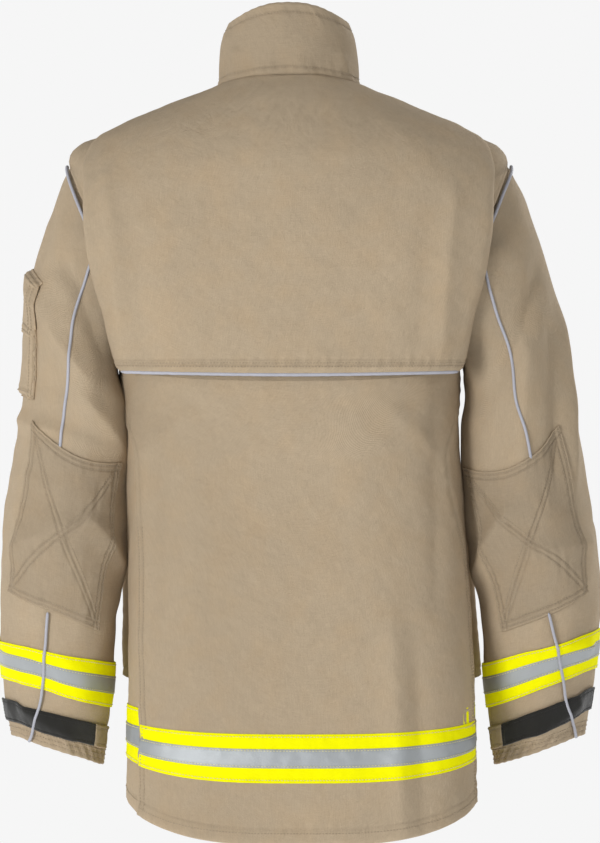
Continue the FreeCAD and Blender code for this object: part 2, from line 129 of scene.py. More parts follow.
# ---------------------------------------------------------------- shader maths
@dataclass
class Socket:
    """A shader value with arithmetic: each operator adds one Math node."""

    shader: "Shader"
    link: bpy.types.NodeSocket

    def _maths(self, operation: str, *values: Union["Socket", float]) -> "Socket":
        """Adds a Math node.

        Args:
            operation: the Math node's operation.
            values: its inputs, in order.

        Returns:
            The result as a socket.
        """
        return self.shader.node("ShaderNodeMath", {"operation": operation}, dict(enumerate(values)))

    def __add__(self, other: Union["Socket", float]) -> "Socket":
        """Sum."""
        return self._maths("ADD", self, other)

    def __radd__(self, other: float) -> "Socket":
        """Sum with a number on the left."""
        return self._maths("ADD", other, self)

    def __sub__(self, other: Union["Socket", float]) -> "Socket":
        """Difference."""
        return self._maths("SUBTRACT", self, other)

    def __rsub__(self, other: float) -> "Socket":
        """Difference from a number."""
        return self._maths("SUBTRACT", other, self)

    def __mul__(self, other: Union["Socket", float]) -> "Socket":
        """Product."""
        return self._maths("MULTIPLY", self, other)

    def __rmul__(self, other: float) -> "Socket":
        """Product with a number on the left."""
        return self._maths("MULTIPLY", other, self)

    def sine(self) -> "Socket":
        """Sine of the value."""
        return self._maths("SINE", self)

    def power(self, exponent: float) -> "Socket":
        """Value raised to a power."""
        return self._maths("POWER", self, exponent)

    def clamp(self) -> "Socket":
        """Value held between 0 and 1."""
        return self.shader.node("ShaderNodeClamp", {}, {0: self, 1: 0.0, 2: 1.0})


class Shader:
    """A material under construction: makes nodes and joins them to one principled shader."""

    def __init__(self, name: str) -> None:
        """Starts an empty material.

        Args:
            name: the material's name.
        """
        self.material = bpy.data.materials.new(name)
        self.material.use_nodes = True
        self.tree = self.material.node_tree
        self.principled = self.tree.nodes["Principled BSDF"]

    def node(self, kind: str, settings: dict, inputs: dict, output: int = 0) -> Socket:
        """Adds one node of any type.

        Args:
            kind: the node's type.
            settings: attributes set before its sockets; "stops" fills a colour ramp.
            inputs: values or sockets by the input's index or name.
            output: index of the output that is returned.

        Returns:
            That output as a socket.
        """
        made = self.tree.nodes.new(kind)
        for key, value in settings.items():
            if key == "stops":
                ramp = made.color_ramp
                while len(ramp.elements) < len(value):
                    ramp.elements.new(0.5)
                for element, (position, colour) in zip(ramp.elements, value):
                    element.position, element.color = position, colour
            else:
                setattr(made, key, value)
        for key, value in inputs.items():
            if isinstance(value, Socket):
                self.tree.links.new(value.link, made.inputs[key])
            else:
                made.inputs[key].default_value = value
        return Socket(self, made.outputs[output])

    def feed(self, name: str, value: Socket) -> None:
        """Links a socket into the principled shader's input of that name."""
        self.tree.links.new(value.link, self.principled.inputs[name])

    def constants(self, **values: Union[float, tuple]) -> None:
        """Sets principled inputs: underscores in the names stand for spaces."""
        for name, value in values.items():
            self.principled.inputs[name.replace("_", " ")].default_value = value

    def noise(self, vector: Socket, scale: float, detail: float = 2.0, rough: float = 0.5) -> Socket:
        """Noise value about 0.5, with the given feature count to the metre."""
        return self.node("ShaderNodeTexNoise", {}, {"Vector": vector, "Scale": scale, "Detail": detail,
                                                    "Roughness": rough})

    def mix(self, factor: Union[Socket, float], first: Union[Socket, tuple],
            second: Union[Socket, tuple]) -> Socket:
        """Colour between two colours, by a factor."""
        return self.node("ShaderNodeMix", {"data_type": "RGBA"}, {0: factor, 6: first, 7: second}, output=2)

    def attribute(self, name: str) -> Socket:
        """Float attribute stored on the mesh."""
        return self.node("ShaderNodeAttribute", {"attribute_name": name}, {}, output=2)

    def place(self) -> Socket:
        """Object coordinates, in metres."""
        return self.node("ShaderNodeTexCoord", {}, {}, output=3)

    def cloth_uv(self) -> tuple[Socket, Socket]:
        """The piece's own map along and down the cloth, in metres.

        Returns:
            Both coordinates.
        """
        vector = self.node("ShaderNodeUVMap", {"uv_map": "cloth"}, {})
        split = self.tree.nodes.new("ShaderNodeSeparateXYZ")
        self.tree.links.new(vector.link, split.inputs[0])
        return Socket(self, split.outputs[0]), Socket(self, split.outputs[1])

    def bump(self, height: Socket, distance: float, strength: float = 1.0,
             under: Optional[Socket] = None) -> Socket:
        """Bump from a height, over an earlier bump if one is given.

        Args:
            height: height to raise.
            distance: size of one unit of height, in metres.
            strength: share of the bump that shows.
            under: bump to lie over.

        Returns:
            The bumped normal.
        """
        inputs = {"Height": height, "Distance": distance, "Strength": strength}
        if under is not None:
            inputs["Normal"] = under
        return self.node("ShaderNodeBump", {}, inputs)


Colour = tuple[float, float, float, float]


def rgb(red: float, green: float, blue: float) -> Colour:
    """Linear colour from display values of 0 to 255."""
    values = [(c / 255.0 / 12.92) if c <= 10.3 else ((c / 255.0 + 0.055) / 1.055) ** 2.4
              for c in (red, green, blue)]
    return values[0], values[1], values[2], 1.0


def scaled(colour: Colour, factor: float) -> Colour:
    """Colour made lighter or darker by a factor."""
    return colour[0] * factor, colour[1] * factor, colour[2] * factor, 1.0


@dataclass(frozen=True)
class TwillCloth:
    """Matt aramid twill: diagonal wales, slubby yarn, patchy soiling, painted shade along the stitching grooves and
    worn, paler edges.
    """

    name: str
    colour: Colour
    wale: float = 0.0011
    grain: float = 0.15
    soil: float = 0.10
    sheen: float = 0.25

    def build(self) -> bpy.types.Material:
        """Makes the material.

        Returns:
            Wales follow sin(2 pi (u + v) / wale); noise at four sizes varies the yarn and the dye.
        """
        s = Shader(self.name)
        u, v = s.cloth_uv()
        place = s.place()
        wales = ((u + v) * (2 * math.pi / self.wale)).sine()
        picks = ((u - v * 0.35) * (2 * math.pi / (self.wale * 0.62))).sine()
        yarn = s.noise(place, 900.0, 2.0, 0.7)
        slub = s.noise(place, 260.0, 3.0, 0.6)
        cloud = s.noise(place, 16.0, 4.0, 0.55)
        wash = s.noise(place, 5.0, 2.0, 0.5)
        groove, wear = s.attribute("groove"), s.attribute("wear")
        ends = s.noise(s.node("ShaderNodeCombineXYZ", {}, {0: u, 1: v * 0.07}), 950.0, 2.0, 0.6)
        fill = s.noise(s.node("ShaderNodeCombineXYZ", {}, {0: u * 0.07, 1: v}), 950.0, 2.0, 0.6)
        tone = (yarn - 0.5) * self.grain * 1.6 + (slub - 0.5) * self.grain + (cloud - 0.5) * self.soil
        tone = tone + (ends - 0.5) * self.grain * 1.9 + (fill - 0.5) * self.grain * 1.6
        tone = tone + (wash - 0.5) * self.soil * 0.8 + wales * 0.030 + picks * 0.014
        # painted shade: the groove attribute darkens the colour along the stitching grooves; wear lightens the worn
        # edges
        level = (tone + 0.5 + wear * 0.12 - groove * 0.15).clamp()
        colour = s.mix(level, scaled(self.colour, 0.62), scaled(self.colour, 1.38))
        warmth = s.noise(place, 34.0, 2.0, 0.5)
        warm = (self.colour[0] * 1.07, self.colour[1] * 0.99, self.colour[2] * 0.88, 1.0)
        colour = s.mix((warmth - 0.42) * 1.1, colour, s.mix(level, scaled(warm, 0.66), scaled(warm, 1.34)))
        s.feed("Base Color", colour)
        s.feed("Roughness", (yarn - 0.5) * 0.12 + 0.84)
        relief = wales * 0.5 + picks * 0.25 + (yarn - 0.5) * 1.6 + (ends + fill - 1.0) * 1.6
        crumple = s.noise(place, 24.0, 4.0, 0.55) + s.noise(place, 75.0, 4.0, 0.6) * 0.28
        fine = s.bump(relief, 0.00018, 0.9)
        s.feed("Normal", s.bump(crumple, 0.0030, 0.75, under=fine))
        s.constants(Sheen_Weight=self.sheen, Sheen_Roughness=0.45, Sheen_Tint=scaled(self.colour, 1.4),
                    Specular_IOR_Level=0.22)
        return s.material


@dataclass(frozen=True)
class TrimTape:
    """Fluorescent or silver trim: ribbed weave, soft vertical bands of painted sheen, handling marks, painted shade
    along the stitching and a coated gloss.
    """

    name: str
    colour: Colour
    glow: float = 0.0
    rough: float = 0.5
    metallic: float = 0.0
    rib: float = 0.0009
    beads: bool = False

    def build(self) -> bpy.types.Material:
        """Makes the material.

        Returns:
            Ribs follow sin(2 pi u / rib); broad bands across the tape vary its brightness as painted sheen, and its
            roughness.
        """
        s = Shader(self.name)
        u, v = s.cloth_uv()
        place = s.place()
        ribs = (u * (2 * math.pi / self.rib)).sine() * (v * (2 * math.pi / self.rib)).sine()
        bands = s.noise(s.node("ShaderNodeCombineXYZ", {}, {0: u, 1: v * 0.12, 2: 0.0}), 38.0, 3.0, 0.6)
        marks = s.noise(place, 90.0, 3.0, 0.6)
        fine = s.noise(place, 1500.0, 1.0, 0.5)
        groove = s.attribute("groove")
        # painted sheen: the broad bands brighten and darken the colour; painted shade: the groove attribute darkens it
        # along the stitching
        level = ((bands - 0.5) * 0.34 + (marks - 0.5) * 0.16 + ribs * 0.02 + (fine - 0.5) * 0.10 + 0.5
                 - groove * 0.22).clamp()
        s.feed("Base Color", s.mix(level, scaled(self.colour, 0.74), scaled(self.colour, 1.26)))
        s.feed("Roughness", (bands - 0.5) * 0.35 + (marks - 0.5) * 0.15 + self.rough)
        relief = ribs * 0.6 + (fine - 0.5) * (1.6 if self.beads else 0.8) + (marks - 0.5) * 2.0
        s.feed("Normal", s.bump(relief, 0.00010, 0.6))
        s.constants(Metallic=self.metallic, Specular_IOR_Level=0.4 if self.beads else 0.05)
        if self.glow:
            s.constants(Emission_Color=self.colour, Emission_Strength=self.glow)
        return s.material


@dataclass(frozen=True)
class CordTrim:
    """Piping, thread, webbing or knit: a fine round yarn with a twist."""

    name: str
    colour: Colour
    rough: float = 0.6
    pitch: float = 0.0016
    metallic: float = 0.0
    sheen: float = 0.1

    def build(self) -> bpy.types.Material:
        """Makes the material.

        Returns:
            The twist follows sin(2 pi (x + y + z) / pitch) over a fine noise.
        """
        s = Shader(self.name)
        place = s.place()
        split = s.tree.nodes.new("ShaderNodeSeparateXYZ")
        s.tree.links.new(place.link, split.inputs[0])
        x, y, z = (Socket(s, out) for out in split.outputs)
        twist = ((x + y + z) * (2 * math.pi / self.pitch)).sine()
        fibre = s.noise(place, 1100.0, 2.0, 0.6)
        dirt = s.noise(place, 60.0, 3.0, 0.6)
        level = (twist * 0.10 + (fibre - 0.5) * 0.35 + (dirt - 0.5) * 0.25 + 0.5).clamp()
        s.feed("Base Color", s.mix(level, scaled(self.colour, 0.62), scaled(self.colour, 1.38)))
        s.feed("Roughness", (fibre - 0.5) * 0.2 + self.rough)
        s.feed("Normal", s.bump(twist * 0.6 + (fibre - 0.5), 0.00012, 0.7))
        s.constants(Metallic=self.metallic, Sheen_Weight=self.sheen, Specular_IOR_Level=0.3)
        return s.material


@dataclass(frozen=True)
class QuiltedLiner:
    """Dark quilted lining: diamond channels stitched through a soft face cloth."""

    name: str
    colour: Colour
    diamond: float = 0.045

    def build(self) -> bpy.types.Material:
        """Makes the material.

        Returns:
            Channels lie where the product of sin(pi (u + v) / diamond) and sin(pi (u - v) / diamond)
            is near nothing.
        """
        s = Shader(self.name)
        u, v = s.cloth_uv()
        one = ((u + v) * (math.pi / self.diamond)).sine()
        two = ((u - v) * (math.pi / self.diamond)).sine()
        puff = (one * one * two * two).power(0.25)
        fine = s.noise(s.place(), 800.0, 2.0, 0.6)
        # painted shade: the colour darkens into the stitched channels, where the puff is low
        level = ((puff - 0.6) * 0.7 + (fine - 0.5) * 0.3 + 0.5).clamp()
        s.feed("Base Color", s.mix(level, scaled(self.colour, 0.55), scaled(self.colour, 1.3)))
        s.feed("Roughness", (fine - 0.5) * 0.15 + 0.75)
        s.feed("Normal", s.bump(puff + (fine - 0.5) * 0.06, 0.0016, 0.9))
        s.constants(Sheen_Weight=0.2, Specular_IOR_Level=0.2)
        return s.material


@dataclass(frozen=True)
class WornMetal:
    """Satin metal or moulded plastic with rubbed high spots."""

    name: str
    colour: Colour
    rough: float = 0.4
    metallic: float = 1.0

    def build(self) -> bpy.types.Material:
        """Makes the material.

        Returns:
            Scratches and rubbing come from two noises on the object's own coordinates.
        """
        s = Shader(self.name)
        place = s.place()
        scratch, rub = s.noise(place, 700.0, 4.0, 0.7), s.noise(place, 120.0, 2.0, 0.5)
        level = ((scratch - 0.5) * 0.5 + (rub - 0.5) * 0.6 + 0.5).clamp()
        s.feed("Base Color", s.mix(level, scaled(self.colour, 0.7), scaled(self.colour, 1.3)))
        s.feed("Roughness", (rub - 0.5) * 0.3 + self.rough)
        s.feed("Normal", s.bump(scratch, 0.00005, 0.5))
        s.constants(Metallic=self.metallic)
        return s.material


SHELL_TAN = rgb(176, 158, 133)


class Finishes:
    """Every finish of the coat, made once and handed out by name."""

    def __init__(self) -> None:
        """Builds the materials."""
        self.shell = TwillCloth("shell_twill", SHELL_TAN).build()
        self.patch = TwillCloth("patch_twill", scaled(SHELL_TAN, 0.80), wale=0.0013, grain=0.17).build()
        # painted shade: the collar's twill is the shell's tan darkened by a tenth, a shaded copy of the same cloth
        self.collar = TwillCloth("collar_twill", scaled(SHELL_TAN, 0.90), wale=0.0010).build()
        self.yellow = TrimTape("fluorescent_trim", (0.79, 0.77, 0.0004, 1.0), glow=0.12, rough=0.75).build()
        self.silver = TrimTape("silver_trim", rgb(164, 168, 170), rough=0.42, metallic=0.35, beads=True).build()
        self.piping = CordTrim("reflective_piping", rgb(170, 171, 180), rough=0.50, metallic=0.0).build()
        self.thread = CordTrim("tan_thread", scaled(SHELL_TAN, 0.80), rough=0.5, pitch=0.0009).build()
        self.pale_thread = CordTrim("pale_thread", rgb(214, 206, 150), rough=0.5, pitch=0.0009).build()
        self.strap = CordTrim("black_hook_tape", rgb(28, 27, 24), rough=0.9, pitch=0.0012, sheen=0.3).build()
        self.webbing = CordTrim("dark_webbing", rgb(38, 36, 34), rough=0.7, pitch=0.0022).build()
        self.knit = CordTrim("cuff_knit", rgb(196, 178, 138), rough=0.85, pitch=0.0030, sheen=0.3).build()
        self.liner = QuiltedLiner("quilted_liner", rgb(62, 60, 60)).build()
        self.zip = WornMetal("zip_teeth", rgb(70, 66, 58), rough=0.35, metallic=0.7).build()
        self.slider = WornMetal("slider_metal", rgb(150, 142, 122), rough=0.32).build()


# ---------------------------------------------------------------- surfaces
def through_rows(table: Array, key: Array) -> Array:
    """Smooth columns of a table at any key: cubic pieces through its rows.

    Args:
        table: rows of key then values, in order of key.
        key: keys to read, of any shape.

    Returns:
        Values with one more axis at the end. Slopes come from the neighbours on both sides.
    """
    keys, rows = table[:, 0], table[:, 1:]
    slopes = np.empty_like(rows)
    slopes[1:-1] = (rows[2:] - rows[:-2]) / (keys[2:] - keys[:-2])[:, None]
    slopes[0] = (rows[1] - rows[0]) / (keys[1] - keys[0])
    slopes[-1] = (rows[-1] - rows[-2]) / (keys[-1] - keys[-2])
    i = np.clip(np.searchsorted(keys, key) - 1, 0, len(keys) - 2)
    span = (keys[i + 1] - keys[i])[..., None]
    t = (np.asarray(key)[..., None] - keys[i][..., None]) / span
    return ((1 + 2 * t) * (1 - t) ** 2 * rows[i] + t * (1 - t) ** 2 * span * slopes[i]
            + t * t * (3 - 2 * t) * rows[i + 1] + t * t * (t - 1) * span * slopes[i + 1])


def ring_point(angle: Array, half: Array, back: Array, front: Array, z_back: Array, z_side: Array,
               z_front: Array, square: Array) -> Array:
    """Point of a rounded ring at a polar angle: radius (|sin/half|^n + |cos/depth|^n)^(-1/n).

    Args:
        angle: degrees from the middle of the back.
        half: half width.
        back: depth of the back half.
        front: depth of the front half.
        z_back: height at the back.
        z_side: height at the sides.
        z_front: height at the front.
        square: exponent n.

    Returns:
        Points, with one more axis at the end.
    """
    s, c = np.sin(np.radians(angle)), np.cos(np.radians(angle))
    rear = c > 0
    depth, z_end = np.where(rear, back, front), np.where(rear, z_back, z_front)
    reach = (np.abs(s / half) ** square + np.abs(c / depth) ** square) ** (-1.0 / square)
    x, y = reach * s, reach * c
    return np.stack([x, MID_Y + y, z_side + (z_end - z_side) * (y / depth) ** 2], axis=-1)


def body_lean(_u: Array, _v: Array, point: Array) -> Array:
    """The body hangs a little off plumb: x moves from 5 mm at the shoulders to -9 mm at the hem."""
    return -0.0018 + 0.0070 * np.tanh((point[..., 2] + 0.47) / 0.11)


def arm_lean(turn: Array, along: Array, point: Array) -> Array:
    """The sleeves follow the body at the armholes and hang 5 mm towards the wearer's right below.

    Args:
        turn: turns round the arm, in degrees.
        along: positions along the sleeve.
        point: the points.

    Returns:
        Sideways moves in metres.
    """
    ease = np.clip((along - 0.2) / 1.4, 0, 1)
    ease = ease * ease * (3 - 2 * ease)
    hang = -0.0010 + 0.0045 * np.tanh((point[..., 2] + 0.26) / 0.06)
    return body_lean(turn, along, point) * (1 - ease) + hang * ease


def mirror_of(base: Surface) -> Surface:
    """The same surface with x turned round."""
    return lambda u, v: base(u, v) * np.array([-1.0, 1.0, 1.0])


TORSO_TABLE = np.column_stack([TORSO[:, 0], -TORSO[:, 0], TORSO[:, 1:]])


def torso(angle: Array, drop: Array) -> Array:
    """Plain torso surface at an angle and a drop."""
    z_back, half, back, front, z_side, z_front, square = np.moveaxis(through_rows(TORSO_TABLE, drop), -1, 0)
    return ring_point(angle, half, back, front, z_back, z_side, z_front, square)


def collar_surface(angle: Array, rise: Array) -> Array:
    """Plain collar surface at an angle and a rise above the neck seam."""
    half, back, front, z_back, z_side, z_front = np.moveaxis(through_rows(COLLAR, rise), -1, 0)
    return ring_point(angle, half, back, front, z_back, z_side, z_front, np.full_like(half, 2.1))


def armhole_angle(drop: Array, front: bool) -> Array:
    """Torso angle of the armhole's edge at a drop, and of the seam above and below it.

    Args:
        drop: drops below the nape.
        front: reads the front half of the edge.

    Returns:
        Degrees. The edge is where the depth is ARMHOLE_DEPTH sqrt(1 - t^2), with t from -1 at the
        armhole's top to 1 at the armpit.
    """
    drop = np.asarray(drop, float)
    row = through_rows(TORSO_TABLE, drop)
    depth, square = row[..., 3 if front else 2], row[..., 6]
    t = np.clip((drop - ARMHOLE_MID) / ARMHOLE_HALF, -1, 1)
    y = ARMHOLE_DEPTH * np.sqrt(1 - t * t)
    x = row[..., 1] * (1 - (y / depth) ** square) ** (1 / square)
    angle = np.degrees(np.arctan2(x, np.maximum(y, SMALL)))
    ease = np.clip((drop - ARMHOLE_MID - ARMHOLE_HALF) / 0.09, 0, 1)
    seam = 90.0 - (90.0 - SEAM_ANGLE) * ease * ease * (3 - 2 * ease)
    below = drop >= ARMHOLE_MID + ARMHOLE_HALF
    return np.where(below, seam, 180.0 - angle if front else angle)


def sleeve(turn: Array, along: Array) -> Array:
    """Plain left sleeve surface: cubic pieces through the armhole's edge and the sleeve's rings.

    Args:
        turn: turns round the arm, in degrees.
        along: positions along the sleeve.

    Returns:
        Points of the surface.
    """
    turn, along = np.broadcast_arrays(np.asarray(turn, float), np.asarray(along, float))
    s, c = np.sin(np.radians(turn)), np.cos(np.radians(turn))
    drop = ARMHOLE_MID - ARMHOLE_HALF * c
    edge = torso(np.where(s < 0, armhole_angle(drop, True), armhole_angle(drop, False)), drop)
    edge[..., 0] += ARMPIT_CLEAR * (1 - c) / 2
    rings = [edge]
    for x, y, z, out_x, out_z, depth in SLEEVE:
        rings.append(np.stack([x + out_x * c, MID_Y + y + depth * s, z + out_z * c], axis=-1))
    rings = np.stack(rings)
    slopes = np.empty_like(rings)
    slopes[1:-1] = (rings[2:] - rings[:-2]) / 2
    slopes[0], slopes[-1] = rings[1] - rings[0], rings[-1] - rings[-2]
    slopes[0, ..., 0] += 0.020 * (1 + c) / 2
    i = np.clip(along.astype(int), 0, len(SLEEVE) - 1)
    pick = lambda stack, k: np.take_along_axis(stack, k[None, ..., None], axis=0)[0]
    t = (along - i)[..., None]
    return ((1 + 2 * t) * (1 - t) ** 2 * pick(rings, i) + t * (1 - t) ** 2 * pick(slopes, i)
            + t * t * (3 - 2 * t) * pick(rings, i + 1) + t * t * (t - 1) * pick(slopes, i + 1))


def front_angle(drop: Array, inset: float) -> Array:
    """Angle on the front where the torso is an inset from the middle, by halving.

    Args:
        drop: drops below the nape, in metres.
        inset: distance from the middle, in metres.

    Returns:
        Angles in degrees.
    """
    low, high = np.full_like(drop, 95.0), np.full_like(drop, 180.0)
    for _ in range(32):
        middle = (low + high) / 2
        outside = torso(middle, drop)[..., 0] > inset
        low, high = np.where(outside, middle, low), np.where(outside, high, middle)
    return (low + high) / 2


# ---------------------------------------------------------------- folds of the cloth
@dataclass(frozen=True)
class Fold:
    """A soft ridge or valley between two places of a surface.

    Its height is 1.5 times the crest's times exp(-|distance/width|^1.6), fading towards both ends. The first
    coordinate is multiplied by the surface's girth scale, so that both are metres.
    """

    start: tuple[float, float]
    end: tuple[float, float]
    width: float
    height: float
    bend: float = 0.0

    def lift(self, a: Array, b: Array, _point: Array) -> Array:
        """Height of the fold at places given in metres.

        Args:
            a: first coordinate, in metres.
            b: second coordinate, in metres.
            _point: the points, not used.

        Returns:
            Heights in metres.
        """
        along = np.array([self.end[0] - self.start[0], self.end[1] - self.start[1]])
        length = float(np.hypot(*along)) + SMALL
        along = along / length
        da, db = a - self.start[0], b - self.start[1]
        run = (da * along[0] + db * along[1]) / length
        off = -da * along[1] + db * along[0] - self.bend * np.sin(np.pi * np.clip(run, 0, 1))
        fade = np.exp(-np.maximum(np.abs(run - 0.5) - 0.32, 0) ** 2 / 0.03)
        return 1.5 * self.height * fade * np.exp(-np.abs(off / self.width) ** 1.6)


@dataclass(frozen=True)
class Ripple:
    """Gentle unevenness: a sum of sine waves through space with seeded directions and phases."""

    seed: int
    height: float
    length: float
    count: int = 12
    stretch: float = 1.0

    def lift(self, a: Array, _b: Array, point: Array) -> Array:
        """Height at the points.

        Args:
            a: first coordinate, in metres.
            _b: second coordinate, not used.
            point: the points.

        Returns:
            Heights in metres.
        """
        random = np.random.default_rng(self.seed)
        total = np.zeros(a.shape)
        for _ in range(self.count):
            way = random.normal(size=3)
            way *= math.tau / (self.length * random.uniform(0.6, 1.7) * np.linalg.norm(way))
            way[2] /= self.stretch
            total += np.sin(point @ way + random.uniform(0, math.tau))
        return total * self.height / math.sqrt(self.count)


Drape = Sequence[Union[Fold, Ripple]]


def draped(base: Surface, drape: Drape, place: Callable[[Array, Array, Array], tuple[Array, Array]],
           flip: bool, step: tuple[float, float], lean: Surface = body_lean) -> Callable:
    """Surface with its folds, at any lift.

    Args:
        base: plain surface.
        drape: folds and ripples, in metres.
        place: gives the two coordinates that the folds are laid out in, from u, v and the point.
        flip: turns the normal round.
        step: small steps in u and v for the normal.
        lean: how far each point moves sideways.

    Returns:
        A function of u, v and lift that gives points.
    """
    def plain(u: Array, v: Array) -> tuple[Array, Array]:
        """Points of the plain surface and its outward normals.

        Args:
            u: first parameter.
            v: second parameter.

        Returns:
            Points and normals.
        """
        du = base(u + step[0], v) - base(u - step[0], v)
        dv = base(u, v + step[1]) - base(u, v - step[1])
        normal = np.cross(du, dv) * (-1.0 if flip else 1.0)
        normal /= np.linalg.norm(normal, axis=-1, keepdims=True) + SMALL
        return base(u, v), normal

    def surface(u: Array, v: Array, lift: Union[float, Array] = 0.0) -> Array:
        """Points at a lift above the draped cloth.

        Args:
            u: first parameter.
            v: second parameter.
            lift: height above the surface, in metres.

        Returns:
            The points.
        """
        u, v = np.broadcast_arrays(np.asarray(u, float), np.asarray(v, float))
        point, normal = plain(u, v)
        a, b = place(u, v, point)
        height = sum((f.lift(a, b, point) for f in drape), np.zeros(u.shape)) + lift
        moved = point + normal * height[..., None]
        moved[..., 0] += lean(u, v, point)
        return moved
    return surface


def front_view(_u: Array, _v: Array, point: Array) -> tuple[Array, Array]:
    """Folds laid out by x and z."""
    return point[..., 0], point[..., 2]


def round_arm(turn: Array, _along: Array, point: Array) -> tuple[Array, Array]:
    """Folds laid out by the girth of the arm (65 mm of radius, from its inner side) and z."""
    return np.radians((turn + 180.0) % 360.0 - 180.0) * 0.065, point[..., 2]


# ---------------------------------------------------------------- closed cloth meshes
def arc_lengths(grid: Array, axis: int) -> Array:
    """Length run from the start of each line of a grid, along an axis.

    Args:
        grid: points in rows and columns.
        axis: 0 down the grid, 1 across it.

    Returns:
        Lengths, of the shape of the grid.
    """
    run = np.linalg.norm(np.diff(grid, axis=axis), axis=-1).cumsum(axis=axis)
    pad = [(0, 0), (0, 0)]
    pad[axis] = (1, 0)
    return np.pad(run, pad)


def grid_normals(grid: Array, closed: bool, flip: bool) -> Array:
    """Unit normals of a grid from its neighbours, wrapping across when it is closed.

    Args:
        grid: points in rows and columns.
        closed: each row closes on itself.
        flip: turns the normals round.

    Returns:
        One unit vector for each point.
    """
    if closed:
        across = np.roll(grid, -1, axis=1) - np.roll(grid, 1, axis=1)
    else:
        across = np.gradient(grid, axis=1)
    normal = np.cross(across, np.gradient(grid, axis=0)) * (-1.0 if flip else 1.0)
    return normal / (np.linalg.norm(normal, axis=-1, keepdims=True) + SMALL)


@dataclass
class Stitching:
    """A row of stitches at a distance from an edge of the cloth, or between two places of it.

    Edges are "left", "right", "top" and "bottom". A line runs between two (across, down) places,
    each from 0 to 1.
    """

    edge: str = "line"
    inset: float = 0.0
    line: tuple[tuple[float, float], tuple[float, float]] = ((0, 0), (1, 1))
    trim: tuple[float, float] = (0.0, 1.0)
    groove: float = 0.0007


